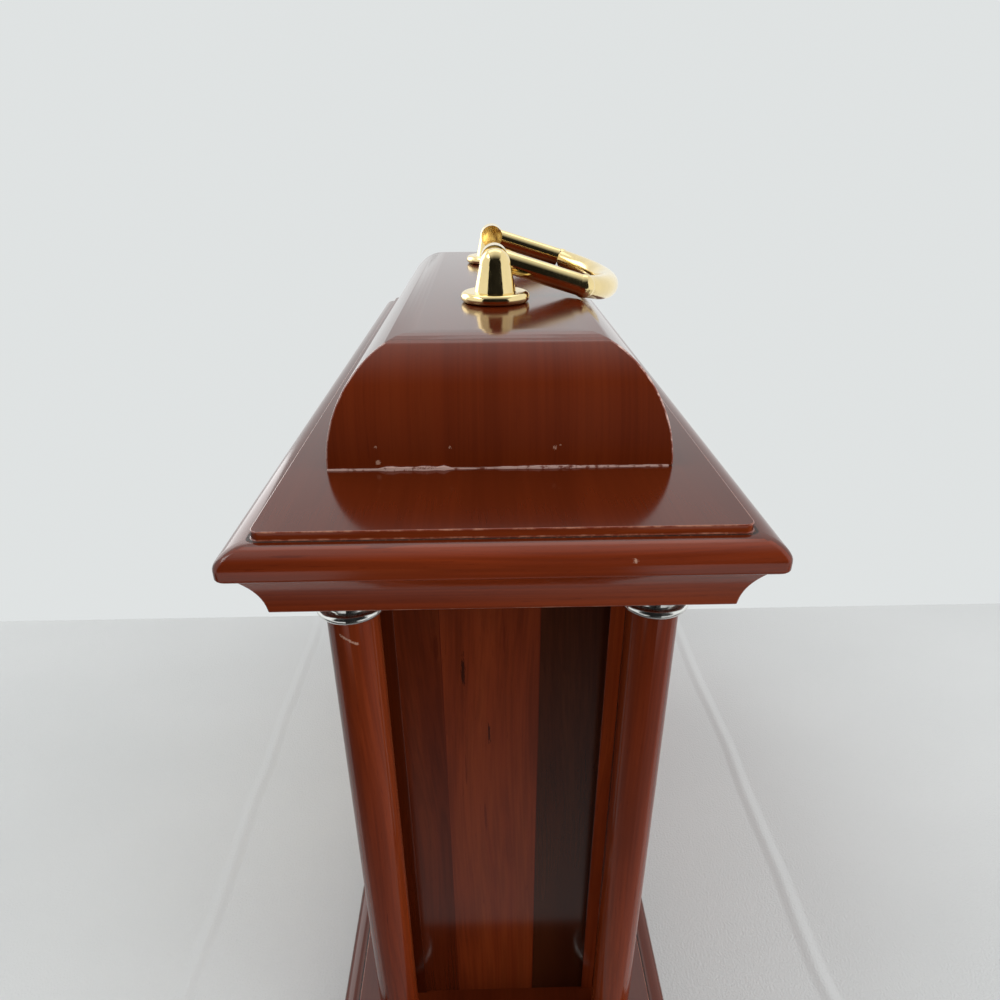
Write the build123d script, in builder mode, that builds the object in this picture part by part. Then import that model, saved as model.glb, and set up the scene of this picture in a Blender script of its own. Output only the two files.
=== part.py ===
from build123d import *
import math
import os

os.makedirs("parts", exist_ok=True)

# A bell-topped mantel clock with four corner columns, a carrying handle and a battery movement.
# Millimetres, +Z up, front towards -Y, origin on the table under the middle of the base.

# Case plan and base
case_width = 368.0
case_depth = 152.0
foot_height = 2.5
foot_radius = 8.0
foot_inset = 17.0
plinth_height = 18.0
plinth_rail_width = 34.0
plinth_bead_height = 6.0
plinth_bead_step = 3.0
base_board_thickness = 13.0
base_board_inset = 1.0

# Moulded edge shared by the base board and the top board
nose_round = 1.3
ovolo_run = 7.2
ovolo_rise = 5.0
step_ledge = 1.1
step_height = 2.5

# Bay with the columns, and the cornice over it
bay_height = 233.5
column_radius = 7.9
column_inset = 20.2
column_setback = 30.8
spigot_radius = 4.0
spigot_length = 8.0
spigot_clearance = 0.1
ring_radius = 10.6
ring_height = 5.5
ring_neck_radius = 8.8
ring_flange = 3.0
cornice_height = 15.5
cornice_rail_width = 44.0
cornice_top_inset = 2.8
cornice_bottom_inset = 9.5
cove_hollow = 1.4
top_board_thickness = 11.0

# Bell top
bell_side_inset = 21.0
bell_end_inset = 48.5
bell_height = 38.0
bell_run = 28.0
bell_wall = 16.0
bell_crown = 11.0

# Carrying handle
post_x = 58.0
post_flange_radius = 13.5
post_flange_height = 4.0
post_foot_radius = 8.1
post_waist_radius = 7.1
post_neck_radius = 6.0
post_height = 19.8
pivot_height = 14.7
pin_radius = 1.6
pin_clearance = 0.05
pin_reach = 3.0
pin_end_gap = 0.3
bail_gap = 0.5
bail_arm_radius = 4.3
bail_corner_radius = 4.7
bail_eye_radius = 5.4
bail_eye_width = 8.8
bail_arm_length = 38.0
bail_bow_reach = 54.5
bail_bow_radius = 5.6
bail_rest_gap = 0.85
bail_drawn_tilt = 23.0
rest_angle_tolerance = 1e-6
handle_screw_radius = 2.5
handle_screw_head_radius = 4.6
handle_screw_head_height = 2.6
handle_screw_depth = 10.5

# Case box
box_ring_gap = 5.2
box_setback = 21.0
frame_board = 19.0
end_panel_thickness = 12.0
end_panel_recess = 0.8
base_screw_radius = 2.2
base_screw_head_radius = 4.5
base_screw_head_height = 2.4
base_screw_length = 34.0
base_screw_y = 22.0

# Dial opening and dial
dial_height = 116.75
dial_seat_ledge = 6.4
dial_seat_depth = 7.0
dial_edge_clearance = 0.5
dial_thickness = 1.0
sight_ring_wall = 2.0
sight_ring_clearance = 0.1
chapter_inner_radius = 55.0
chapter_outer_radius = 76.0
chapter_margin = 2.5
chapter_thickness = 0.5
dial_screw_edge = 3.3
dial_screw_radius = 1.2
dial_screw_head_radius = 2.3
dial_screw_head_height = 1.5
dial_screw_length = 8.0
dial_screw_count = 4
dial_screw_angle = 45.0

# Bezel door
bezel_cover = 3.0
bezel_sight_lap = 3.6
bezel_seat_step = 3.0
bezel_depth = 7.0
bezel_gap = 0.2
bezel_shoulder = 2.0
bezel_face = 5.5
bezel_lip = 2.6
bezel_lip_bevel = 1.0
bezel_tab_length = 5.0
bezel_tab_half_height = 6.0
bezel_tab_thickness = 2.4
glass_thickness = 2.0
glass_rise = 8.0
glass_clearance = 0.15
retainer_width = 2.2
retainer_thickness = 1.6
bezel_hinge_offset = 7.0
bezel_hinge_stand_off = 4.0
bezel_knuckle_radius = 3.0
bezel_knuckle_height = 12.0
bezel_side_knuckle = 5.0
bezel_lug_share = 0.6
bezel_pin_radius = 1.5
bezel_leaf_length = 17.0
bezel_leaf_reach = 4.2
hinge_leaf_thickness = 1.2
hinge_play = 0.2
hinge_bore_clearance = 0.05

# Rear door
rear_opening_width = 150.0
rear_rail_height = 27.0
rear_door_gap = 0.4
rear_door_thickness = 10.0
rear_stop_lip = 5.0
rear_stop_gap = 0.3
rear_door_edge = 1.5
rear_hinge_height = 26.0
rear_hinge_end = 34.0
rear_leaf_length = 17.0
rear_leaf_reach = 3.2
rear_knuckle_radius = 2.4
rear_knuckle_gap = 0.1
rear_hinge_pin_radius = 1.2
rear_knob_radius = 6.0
rear_knob_stem_radius = 2.2
rear_knob_stem_length = 5.0
rear_knob_bevel = 2.0
rear_knob_edge = 16.0

# Movement case
movement_width = 56.0
movement_top = 24.0
movement_bottom = 37.5
movement_depth = 16.0
movement_wall = 1.2
stem_radius = 4.0
stem_length = 5.6
nut_flats = 11.0
nut_height = 2.2
divider_drop = 20.2
battery_radius = 7.15
battery_length = 49.5
battery_nub_radius = 2.7
battery_nub_length = 1.0
contact_thickness = 0.6
contact_width = 8.0
battery_rest_gap = 0.15

# Wheels and arbors
wheel_thickness = 1.2
level_pitch = 1.9
first_level_gap = 0.6
running_clearance = 0.05
end_play = 0.1
arbor_radius = 0.8
pivot_radius = 0.5
second_arbor_radius = 0.6
minute_tube_radius = 1.5
hour_tube_radius = 2.6
tooth_backlash = 0.14
pressure_angle = 20.0
wheel_addendum = 0.6
pinion_addendum = 0.8
dedendum = 1.0
flank_points = 4
cannon_teeth = 15
minute_wheel_teeth = 45
minute_pinion_teeth = 12
hour_wheel_teeth = 48
motion_module = 0.4
second_pinion_teeth = 10
third_wheel_teeth = 75
third_pinion_teeth = 10
centre_wheel_teeth = 80
third_module = 0.28
second_wheel_teeth = 60
fifth_pinion_teeth = 12
second_module = 0.34
fifth_wheel_teeth = 60
rotor_pinion_teeth = 10
rotor_module = 0.24
minute_wheel_bearing = 210.0
third_wheel_bearing = 60.0
fifth_wheel_bearing = 150.0
rotor_bearing = 150.0
magnet_radius = 3.0
magnet_length = 2.6
stator_thickness = 1.0
stator_gap = 0.4
stator_leg_width = 3.0
stator_head_reach = 5.8
stator_head_height = 13.0
stator_leg_length = 22.0
stator_peg_radius = 1.2
stator_peg_offset = 4.4
coil_radius = 3.0
coil_length = 18.0
coil_gap = 0.1
coil_wall_gap = 0.5
knob_radius = 7.0
knob_height = 5.0
knob_ribs = 18
knob_rib_radius = 0.7
knob_stand_off = 0.5

# Hands
hand_thickness = 0.6
hour_tip_gap = 9.0
hour_spade_setback = 15.0
hour_spade_radius = 5.5
hour_collet_radius = 4.6
minute_tip_gap = 6.0
minute_spade_setback = 20.0
minute_spade_radius = 4.5
minute_collet_radius = 3.4
second_tip_gap = 4.0
second_hand_width = 0.7
second_tail_radius = 2.6
second_collet_radius = 2.2
second_hand_tail = 20.0
stalk_foot = 1.5
stalk_tip = 0.4
spade_point = 1.9
spade_piercing = 0.5
hand_gap = 0.5
hand_collet_height = 1.8
time_hours = 10.0
time_minutes = 10.0
time_seconds = 35.0

# Levels
half_width = case_width / 2
half_depth = case_depth / 2
plinth_top = foot_height + plinth_height
bay_bottom = plinth_top + base_board_thickness
bay_top = bay_bottom + bay_height
cornice_top = bay_top + cornice_height
board_top = cornice_top + top_board_thickness
bell_top_level = board_top + bell_height
pivot_level = bell_top_level + pivot_height
column_x = half_width - column_inset
column_y = half_depth - column_setback
box_half_width = column_x - ring_radius - box_ring_gap
box_half_depth = half_depth - box_setback
column_places = {
    "column_front_left": (-column_x, -column_y),
    "column_front_right": (column_x, -column_y),
    "column_back_left": (-column_x, column_y),
    "column_back_right": (column_x, column_y),
}
dial_opening_radius = chapter_outer_radius + chapter_margin + sight_ring_wall + sight_ring_clearance
dial_seat_radius = dial_opening_radius + dial_seat_ledge
dial_radius = dial_seat_radius - dial_edge_clearance
dial_screw_circle = dial_seat_radius - dial_screw_edge
bezel_radius = dial_seat_radius + bezel_cover
bezel_lip_radius = dial_opening_radius - bezel_sight_lap
bezel_seat_radius = bezel_lip_radius + bezel_seat_step
hour_hand_length = chapter_inner_radius - hour_tip_gap
hour_spade_place = hour_hand_length - hour_spade_setback
minute_hand_length = chapter_outer_radius - minute_tip_gap
minute_spade_place = minute_hand_length - minute_spade_setback
second_hand_length = chapter_outer_radius - second_tip_gap
dial_z = bay_bottom + dial_height
front_y = -box_half_depth
panel_back_y = front_y + frame_board
dial_front_y = panel_back_y - dial_seat_depth
dial_back_y = dial_front_y + dial_thickness
dial_axis = Axis((0, 0, dial_z), (0, 1, 0))
back_y = box_half_depth
frame_inner_y = back_y - frame_board
Z_BOTTOM = (Align.CENTER, Align.CENTER, Align.MIN)


def facing_front(y, x=0.0, z=0.0):
    """Upright plane at depth y that extrudes towards the front."""
    return Plane(origin=(x, y, z), x_dir=(1, 0, 0), z_dir=(0, -1, 0))


def facing_back(y, x=0.0, z=0.0):
    """Upright plane at depth y that extrudes towards the back."""
    return Plane(origin=(x, y, z), x_dir=(-1, 0, 0), z_dir=(0, 1, 0))


def save(piece, name):
    """Label a finished piece and write it under its node's name."""
    piece.part.label = name
    export_step(piece.part, f"parts/{name}.step")


def board_outline(half, bottom, top):
    """Section of a moulded board: rounded nose, ovolo and a stepped fillet at each side."""
    nose_top = top - step_height - ovolo_rise
    ledge = half - ovolo_run
    with BuildSketch() as outline:
        with BuildLine():
            floor = Line((0, bottom), (half - nose_round, bottom))
            nose = CenterArc((half - nose_round, bottom + nose_round), nose_round, -90, 90)
            Line(nose @ 1, (half, nose_top))
            ovolo = EllipticalCenterArc(
                (ledge, nose_top), ovolo_run, ovolo_rise, start_angle=0, arc_size=90
            )
            Polyline(
                ovolo @ 1,
                (ledge - step_ledge, top - step_height),
                (ledge - step_ledge, top),
                (0, top),
                floor @ 0,
            )
        make_face()
        mirror(about=Plane.YZ)
    return outline.sketch


def cornice_outline(half):
    """Section of the cornice: a hollow cove from the board down to the bay."""
    middle = (cornice_top_inset + cornice_bottom_inset) / 2 + cove_hollow
    with BuildSketch() as outline:
        with BuildLine():
            cove = ThreePointArc(
                (half - cornice_bottom_inset, bay_top),
                (half - middle, (bay_top + cornice_top) / 2),
                (half - cornice_top_inset, cornice_top),
            )
            Polyline(cove @ 1, (0, cornice_top), (0, bay_top), cove @ 0)
        make_face()
        mirror(about=Plane.YZ)
    return outline.sketch


def plinth_outline(half):
    """Section of the plinth: a rounded bead at the foot under an upright face."""
    face = half - plinth_bead_step
    with BuildSketch() as outline:
        with BuildLine():
            bead = EllipticalCenterArc(
                (face, foot_height), plinth_bead_step, plinth_bead_height, start_angle=0, arc_size=90
            )
            Polyline(bead @ 1, (face, plinth_top), (0, plinth_top), (0, foot_height), bead @ 0)
        make_face()
        mirror(about=Plane.YZ)
    return outline.sketch


def bell_outline(half):
    """Section of the bell top: a convex shoulder rising from an upright foot to a flat crown."""
    with BuildSketch() as outline:
        with BuildLine():
            shoulder = EllipticalCenterArc(
                (half - bell_run, board_top), bell_run, bell_height, start_angle=0, arc_size=90
            )
            Polyline(shoulder @ 1, (0, bell_top_level), (0, board_top), shoulder @ 0)
        make_face()
        mirror(about=Plane.YZ)
    return outline.sketch


def mitred_block(half_x, half_y, outline):
    """Block with one edge section on all four sides, mitred at the corners."""
    with BuildPart() as block:
        with BuildSketch(Plane.YZ):
            add(outline(half_y))
        extrude(amount=half_x, both=True)
        with BuildSketch(Plane.XZ):
            add(outline(half_x))
        extrude(amount=half_y, both=True, mode=Mode.INTERSECT)
    return block.part


def rail_footprint(width, side):
    """Plan of one mitred rail of a frame: front, back, left or right."""
    inner_x = half_width - width
    inner_y = half_depth - width
    sign = -1 if side in ("front", "left") else 1
    if side in ("front", "back"):
        corners = [
            (-half_width, sign * half_depth),
            (half_width, sign * half_depth),
            (inner_x, sign * inner_y),
            (-inner_x, sign * inner_y),
        ]
    else:
        corners = [
            (sign * half_width, -half_depth),
            (sign * half_width, half_depth),
            (sign * inner_x, inner_y),
            (sign * inner_x, -inner_y),
        ]
    return corners


def bail_drop():
    """Angle below level at which the bail's arms lie just clear of the bell's shoulder."""
    crown_edge = half_depth - bell_side_inset - bell_run
    wanted = bail_arm_radius + bail_rest_gap
    low = 0.0
    high = math.pi / 2
    while high - low > rest_angle_tolerance:
        middle = (low + high) / 2
        sine = math.sin(middle)
        cosine = math.cos(middle)
        shoulder = math.hypot(bell_run * sine, bell_height * cosine)
        clear = (bell_height + pivot_height) * cosine - crown_edge * sine - shoulder
        if clear > wanted:
            low = middle
        else:
            high = middle
    return low


# Feet and plinth
with BuildPart() as foot_pads:
    foot_x = half_width - foot_inset
    foot_y = half_depth - foot_inset
    with GridLocations(2 * foot_x, 2 * foot_y, 2, 2):
        Cylinder(foot_radius, foot_height, align=Z_BOTTOM)
save(foot_pads, "foot_pads")

plinth_block = mitred_block(half_width, half_depth, plinth_outline)
plinth_sides = {"plinth_front": ["front"], "plinth_back": ["back"], "plinth_ends": ["left", "right"]}
for name, sides in plinth_sides.items():
    with BuildPart() as plinth_rail:
        with BuildSketch(Plane.XY.offset(foot_height)):
            for side in sides:
                Polygon(*rail_footprint(plinth_rail_width, side), align=None)
        extrude(amount=plinth_height)
        add(plinth_block, mode=Mode.INTERSECT)
    save(plinth_rail, name)

# Base board, with the column sockets and the screws that hold the end panels
end_panel_x = box_half_width - end_panel_recess - end_panel_thickness / 2
base_screw_places = [
    (sx * end_panel_x, sy * base_screw_y) for sx in (-1, 1) for sy in (-1, 1)
]
with BuildPart() as base_board:
    add(
        mitred_block(
            half_width - base_board_inset,
            half_depth - base_board_inset,
            lambda half: board_outline(half, plinth_top, bay_bottom),
        )
    )
    with Locations(*[(x, y, bay_bottom) for x, y in column_places.values()]):
        Hole(spigot_radius + spigot_clearance, depth=spigot_length + spigot_clearance)
    with Locations(*[(x, y, bay_bottom) for x, y in base_screw_places]):
        Hole(base_screw_radius)
save(base_board, "base_board")

with BuildPart() as base_screws:
    with Locations(*[(x, y, plinth_top) for x, y in base_screw_places]):
        Cylinder(base_screw_radius, base_screw_length, align=Z_BOTTOM)
    with Locations(*[(x, y, plinth_top - base_screw_head_height) for x, y in base_screw_places]):
        Cylinder(base_screw_head_radius, base_screw_head_height, align=Z_BOTTOM)
save(base_screws, "base_screws")

# Columns with turned spigots, and the metal rings at both ends
shaft_bottom = bay_bottom + ring_height
shaft_length = bay_height - 2 * ring_height
spigot_reach = ring_height + spigot_length
for name, (x, y) in column_places.items():
    with BuildPart() as column:
        with Locations((x, y, shaft_bottom)):
            Cylinder(column_radius, shaft_length, align=Z_BOTTOM)
        with Locations((x, y, shaft_bottom - spigot_reach)):
            Cylinder(spigot_radius, shaft_length + 2 * spigot_reach, align=Z_BOTTOM)
    save(column, name)


def column_ring(seat, direction):
    """Ring turned about Z at the origin: a neck on its seat, then a full-round flange."""
    neck_end = seat + direction * (ring_height - ring_flange)
    flange_end = seat + direction * ring_height
    round_radius = ring_flange / 2
    bore = spigot_radius + spigot_clearance
    with BuildPart() as ring:
        with BuildSketch(Plane.XZ):
            with BuildLine():
                rim = ThreePointArc(
                    (ring_radius - round_radius, neck_end),
                    (ring_radius, (neck_end + flange_end) / 2),
                    (ring_radius - round_radius, flange_end),
                )
                Polyline(
                    rim @ 1,
                    (bore, flange_end),
                    (bore, seat),
                    (ring_neck_radius, seat),
                    (ring_neck_radius, neck_end),
                    rim @ 0,
                )
            make_face()
        revolve(axis=Axis.Z)
    return ring.part


ring_seats = {"column_base_rings": (bay_bottom, 1), "column_capitals": (bay_top, -1)}
for name, (seat, direction) in ring_seats.items():
    turned_ring = column_ring(seat, direction)
    with BuildPart() as rings:
        with Locations(*[(x, y, 0) for x, y in column_places.values()]):
            add(turned_ring)
    save(rings, name)

# End panels, let in between the front panel and the back frame
for name, sign in (("end_panel_left", -1), ("end_panel_right", 1)):
    with BuildPart() as end_panel:
        with BuildSketch(Plane.XY.offset(bay_bottom)):
            with Locations((sign * end_panel_x, 0)):
                Rectangle(end_panel_thickness, 2 * frame_inner_y)
        extrude(amount=bay_height)
        with Locations(*[(x, y, bay_bottom) for x, y in base_screw_places if x * sign > 0]):
            Cylinder(
                base_screw_radius,
                base_screw_length - base_board_thickness,
                align=Z_BOTTOM,
                mode=Mode.SUBTRACT,
            )
    save(end_panel, name)

# Front panel with the round dial opening and the dial seat behind it
bay_middle = bay_bottom + bay_height / 2
with BuildPart() as front_panel:
    with BuildSketch(facing_front(panel_back_y)):
        with Locations((0, bay_middle)):
            Rectangle(2 * box_half_width, bay_height)
        with Locations((0, dial_z)):
            Circle(dial_opening_radius, mode=Mode.SUBTRACT)
    extrude(amount=frame_board)
    with BuildSketch(facing_front(panel_back_y, z=dial_z)):
        Circle(dial_seat_radius)
    extrude(amount=dial_seat_depth, mode=Mode.SUBTRACT)
    with BuildSketch(facing_front(dial_front_y, z=dial_z)):
        with PolarLocations(dial_screw_circle, dial_screw_count, start_angle=dial_screw_angle):
            Circle(dial_screw_radius)
    extrude(amount=dial_screw_length - dial_thickness, mode=Mode.SUBTRACT)
save(front_panel, "front_panel")

# Back frame: stiles with a stop lip for the door, and rails between them
rear_half = rear_opening_width / 2
stop_depth = frame_board - rear_door_thickness - rear_stop_gap
stile_width = box_half_width - rear_half
with BuildPart() as back_stiles:
    with BuildSketch(facing_back(frame_inner_y)):
        for sign in (-1, 1):
            with Locations((sign * (rear_half + stile_width / 2), bay_middle)):
                Rectangle(stile_width, bay_height)
    extrude(amount=frame_board)
    with BuildSketch(facing_back(frame_inner_y)):
        for sign in (-1, 1):
            with Locations((sign * (rear_half - rear_stop_lip / 2), bay_middle)):
                Rectangle(rear_stop_lip, bay_height - 2 * rear_rail_height)
    extrude(amount=stop_depth)
save(back_stiles, "back_stiles")

with BuildPart() as back_rails:
    with BuildSketch(facing_back(frame_inner_y)):
        for level in (bay_bottom + rear_rail_height / 2, bay_top - rear_rail_height / 2):
            with Locations((0, level)):
                Rectangle(rear_opening_width, rear_rail_height)
    extrude(amount=frame_board)
save(back_rails, "back_rails")

# Cornice rails with sockets for the column spigots
cornice_block = mitred_block(half_width, half_depth, cornice_outline)
cornice_sides = {"cornice_front": ["front"], "cornice_back": ["back"], "cornice_ends": ["left", "right"]}
for name, sides in cornice_sides.items():
    with BuildPart() as cornice_rail:
        with BuildSketch(Plane.XY.offset(bay_top)):
            for side in sides:
                Polygon(*rail_footprint(cornice_rail_width, side), align=None)
        extrude(amount=cornice_height)
        add(cornice_block, mode=Mode.INTERSECT)
        with Locations(*[(x, y, bay_top) for x, y in column_places.values()]):
            Cylinder(
                spigot_radius + spigot_clearance,
                spigot_length + spigot_clearance,
                align=Z_BOTTOM,
                mode=Mode.SUBTRACT,
            )
    save(cornice_rail, name)

# Top board
with BuildPart() as top_board:
    add(mitred_block(half_width, half_depth, lambda half: board_outline(half, cornice_top, board_top)))
save(top_board, "top_board")

# Bell top, hollowed from below, with the holes for the handle screws
bell_half_x = half_width - bell_end_inset
bell_half_y = half_depth - bell_side_inset
cavity_height = bell_height - bell_crown
post_places = [(-post_x, 0), (post_x, 0)]
with BuildPart() as bell_top:
    add(mitred_block(bell_half_x, bell_half_y, bell_outline))
    with BuildSketch(Plane.XY.offset(board_top)):
        Rectangle(2 * (bell_half_x - bell_wall), 2 * (bell_half_y - bell_wall))
    extrude(amount=cavity_height, mode=Mode.SUBTRACT)
    with Locations(*[(x, y, bell_top_level) for x, y in post_places]):
        Hole(handle_screw_radius, depth=bell_crown)
save(bell_top, "bell_top")

# Handle posts: a flange, a flared foot and a rounded head with a blind pivot bore on its inner side
post_base = bell_top_level
pin_outer = post_x + pin_reach
for name, sign in (("handle_post_left", -1), ("handle_post_right", 1)):
    with BuildPart() as handle_post:
        with BuildSketch(facing_front(0, x=sign * post_x, z=post_base)):
            with BuildLine():
                rim_round = post_flange_height / 2
                rim = ThreePointArc(
                    (post_flange_radius - rim_round, 0),
                    (post_flange_radius, rim_round),
                    (post_flange_radius - rim_round, post_flange_height),
                )
                ledge = Line(rim @ 1, (post_foot_radius, post_flange_height))
                head_start = post_height - post_neck_radius
                ThreePointArc(
                    ledge @ 1,
                    (post_waist_radius, (post_flange_height + head_start) / 2),
                    (post_neck_radius, head_start),
                )
                head = CenterArc((0, head_start), post_neck_radius, 0, 90)
                Polyline(head @ 1, (0, 0), rim @ 0)
            make_face()
        revolve(axis=Axis((sign * post_x, 0, 0), (0, 0, 1)))
        with BuildSketch(Plane(origin=(0, 0, pivot_level), z_dir=(sign, 0, 0))):
            Circle(pin_radius + pin_clearance)
        extrude(amount=pin_outer + pin_end_gap, mode=Mode.SUBTRACT)
        with Locations((sign * post_x, 0, post_base)):
            Cylinder(
                handle_screw_radius,
                handle_screw_depth,
                align=Z_BOTTOM,
                mode=Mode.SUBTRACT,
            )
    save(handle_post, name)

screw_seat = bell_top_level - bell_crown
with BuildPart() as handle_screws:
    with Locations(*[(x, y, screw_seat) for x, y in post_places]):
        Cylinder(handle_screw_radius, bell_crown + handle_screw_depth, align=Z_BOTTOM)
    with Locations(*[(x, y, screw_seat - handle_screw_head_height) for x, y in post_places]):
        Cylinder(handle_screw_head_radius, handle_screw_head_height, align=Z_BOTTOM)
save(handle_screws, "handle_screws")

# Bail, drawn in a plane of its own, local X along the case and local Y away from the pivot, then dropped
drawn_tilt = math.radians(bail_drawn_tilt)
bail_plane = Plane(
    origin=(0, 0, pivot_level),
    x_dir=(1, 0, 0),
    z_dir=(0, math.sin(drawn_tilt), math.cos(drawn_tilt)),
)
eye_outer = post_x - post_waist_radius - bail_gap
arm_x = eye_outer - bail_eye_width / 2
with BuildPart() as drawn_bail:
    with BuildLine(bail_plane):
        bow = ThreePointArc(
            (-arm_x, bail_arm_length), (0, bail_bow_reach), (arm_x, bail_arm_length)
        )
    for station, radius in ((0, bail_arm_radius), (0.5, bail_bow_radius), (1, bail_arm_radius)):
        with BuildSketch(Plane(origin=bow @ station, z_dir=bow % station)):
            Circle(radius)
    sweep(path=bow, multisection=True)
    for sign in (-1, 1):
        eye_middle = bail_plane.from_local_coords((sign * arm_x, 0, 0))
        corner = bail_plane.from_local_coords((sign * arm_x, bail_arm_length, 0))
        with BuildSketch(Plane(origin=eye_middle, z_dir=bail_plane.y_dir)):
            Circle(bail_arm_radius)
        extrude(amount=bail_arm_length)
        with Locations(corner):
            Sphere(bail_corner_radius)
        with BuildSketch(Plane(origin=eye_middle, z_dir=(1, 0, 0))):
            Circle(bail_eye_radius)
        extrude(amount=bail_eye_width / 2, both=True)
    with BuildSketch(Plane.YZ):
        with Locations((0, pivot_level)):
            Circle(pin_radius)
    extrude(amount=half_width, both=True, mode=Mode.SUBTRACT)
pivot_axis = Axis((0, 0, pivot_level), (1, 0, 0))
rest = bail_drop()
with BuildPart() as bail_handle:
    add(drawn_bail.part.rotate(pivot_axis, math.degrees(drawn_tilt - rest)))
save(bail_handle, "bail_handle")

with BuildPart() as bail_pins:
    for sign in (-1, 1):
        with BuildSketch(Plane(origin=(sign * pin_outer, 0, pivot_level), z_dir=(-sign, 0, 0))):
            Circle(pin_radius)
        extrude(amount=pin_outer - eye_outer + bail_eye_width)
save(bail_pins, "bail_pins")

# Sight ring, dial plate and chapter ring
sight_outer = dial_opening_radius - sight_ring_clearance
with BuildPart() as sight_ring:
    with BuildSketch(facing_front(dial_front_y, z=dial_z)):
        Circle(sight_outer)
        Circle(sight_outer - sight_ring_wall, mode=Mode.SUBTRACT)
    extrude(amount=dial_front_y - front_y)
save(sight_ring, "sight_ring")

with BuildPart() as dial_plate:
    with BuildSketch(facing_front(dial_back_y, z=dial_z)):
        Circle(dial_radius)
        Circle(stem_radius + running_clearance, mode=Mode.SUBTRACT)
        with PolarLocations(dial_screw_circle, dial_screw_count, start_angle=dial_screw_angle):
            Circle(dial_screw_radius + running_clearance, mode=Mode.SUBTRACT)
    extrude(amount=dial_thickness)
save(dial_plate, "dial_plate")

with BuildPart() as chapter_ring:
    with BuildSketch(facing_front(dial_front_y, z=dial_z)):
        Circle(chapter_outer_radius)
        Circle(chapter_inner_radius, mode=Mode.SUBTRACT)
    extrude(amount=chapter_thickness)
save(chapter_ring, "chapter_ring")

with BuildPart() as dial_screws:
    with BuildSketch(facing_front(dial_back_y, z=dial_z)):
        with PolarLocations(dial_screw_circle, dial_screw_count, start_angle=dial_screw_angle):
            Circle(dial_screw_radius)
    extrude(amount=dial_screw_length)
    with BuildSketch(facing_front(dial_back_y + dial_screw_head_height, z=dial_z)):
        with PolarLocations(dial_screw_circle, dial_screw_count, start_angle=dial_screw_angle):
            Circle(dial_screw_head_radius)
    extrude(amount=dial_screw_head_height)
save(dial_screws, "dial_screws")

# Bezel door: a turned ring with a hinge lug on the left and a thumb tab on the right
bezel_back = front_y - bezel_gap
bezel_front = bezel_back - bezel_depth
lip_back = bezel_front + bezel_lip
hinge_x = -(bezel_radius + bezel_hinge_offset)
hinge_y = bezel_back - bezel_hinge_stand_off
dial_section = Plane.XY.offset(dial_z)
lug_half_thickness = bezel_knuckle_radius * bezel_lug_share
with BuildPart() as bezel_ring:
    with BuildSketch(dial_section):
        with BuildLine():
            face_round = EllipticalCenterArc(
                (bezel_radius - bezel_face, bezel_back - bezel_shoulder),
                bezel_face,
                bezel_depth - bezel_shoulder,
                start_angle=0,
                arc_size=-90,
            )
            Polyline(
                face_round @ 1,
                (bezel_lip_radius + bezel_lip_bevel, bezel_front),
                (bezel_lip_radius, bezel_front + bezel_lip_bevel),
                (bezel_lip_radius, lip_back),
                (bezel_seat_radius, lip_back),
                (bezel_seat_radius, bezel_back),
                (bezel_radius, bezel_back),
                face_round @ 0,
            )
        make_face()
    revolve(axis=dial_axis)
    with BuildSketch(Plane.XY.offset(dial_z)):
        with Locations((hinge_x, hinge_y)):
            Circle(bezel_knuckle_radius)
        with Locations(((hinge_x - bezel_radius + bezel_face / 2) / 2, hinge_y)):
            Rectangle(bezel_hinge_offset + bezel_face / 2, 2 * lug_half_thickness)
    extrude(amount=bezel_knuckle_height / 2, both=True)
    with BuildSketch(Plane.XY.offset(dial_z)):
        with Locations((bezel_radius, bezel_back - bezel_shoulder)):
            Rectangle(2 * bezel_tab_length, bezel_tab_thickness)
    extrude(amount=bezel_tab_half_height, both=True)
    with BuildSketch(dial_section):
        with Locations((hinge_x, hinge_y)):
            Circle(bezel_pin_radius + hinge_bore_clearance)
    extrude(amount=bezel_knuckle_height, both=True, mode=Mode.SUBTRACT)
    with BuildSketch(facing_front(bezel_back, z=dial_z)):
        Circle(bezel_seat_radius)
    extrude(amount=bezel_back - lip_back, mode=Mode.SUBTRACT)
save(bezel_ring, "bezel_ring")


def dome_arc_points(edge_radius, edge_y, rise):
    """Apex, middle and edge of a dome's section, bulging to the front."""
    sphere = (edge_radius**2 + rise**2) / (2 * rise)
    apex_y = edge_y - rise
    half_turn = math.asin(edge_radius / sphere) / 2
    middle = (sphere * math.sin(half_turn), apex_y + sphere * (1 - math.cos(half_turn)))
    return (0, apex_y), middle, (edge_radius, edge_y)


dome_edge = bezel_lip_radius - glass_clearance
rim_back = lip_back + glass_thickness
glass_radius = bezel_seat_radius - glass_clearance
with BuildPart() as bezel_glass:
    with BuildSketch(dial_section):
        with BuildLine():
            outer = ThreePointArc(*dome_arc_points(dome_edge, lip_back, glass_rise))
            inner = ThreePointArc(*dome_arc_points(dome_edge - glass_thickness, rim_back, glass_rise))
            Polyline(
                outer @ 1,
                (glass_radius, lip_back),
                (glass_radius, rim_back),
                inner @ 1,
            )
            Line(inner @ 0, outer @ 0)
        make_face()
    revolve(axis=dial_axis)
save(bezel_glass, "bezel_glass")

with BuildPart() as glass_retainer:
    with BuildSketch(facing_front(rim_back + retainer_thickness, z=dial_z)):
        Circle(glass_radius)
        Circle(glass_radius - retainer_width, mode=Mode.SUBTRACT)
    extrude(amount=retainer_thickness)
save(glass_retainer, "glass_retainer")

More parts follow.
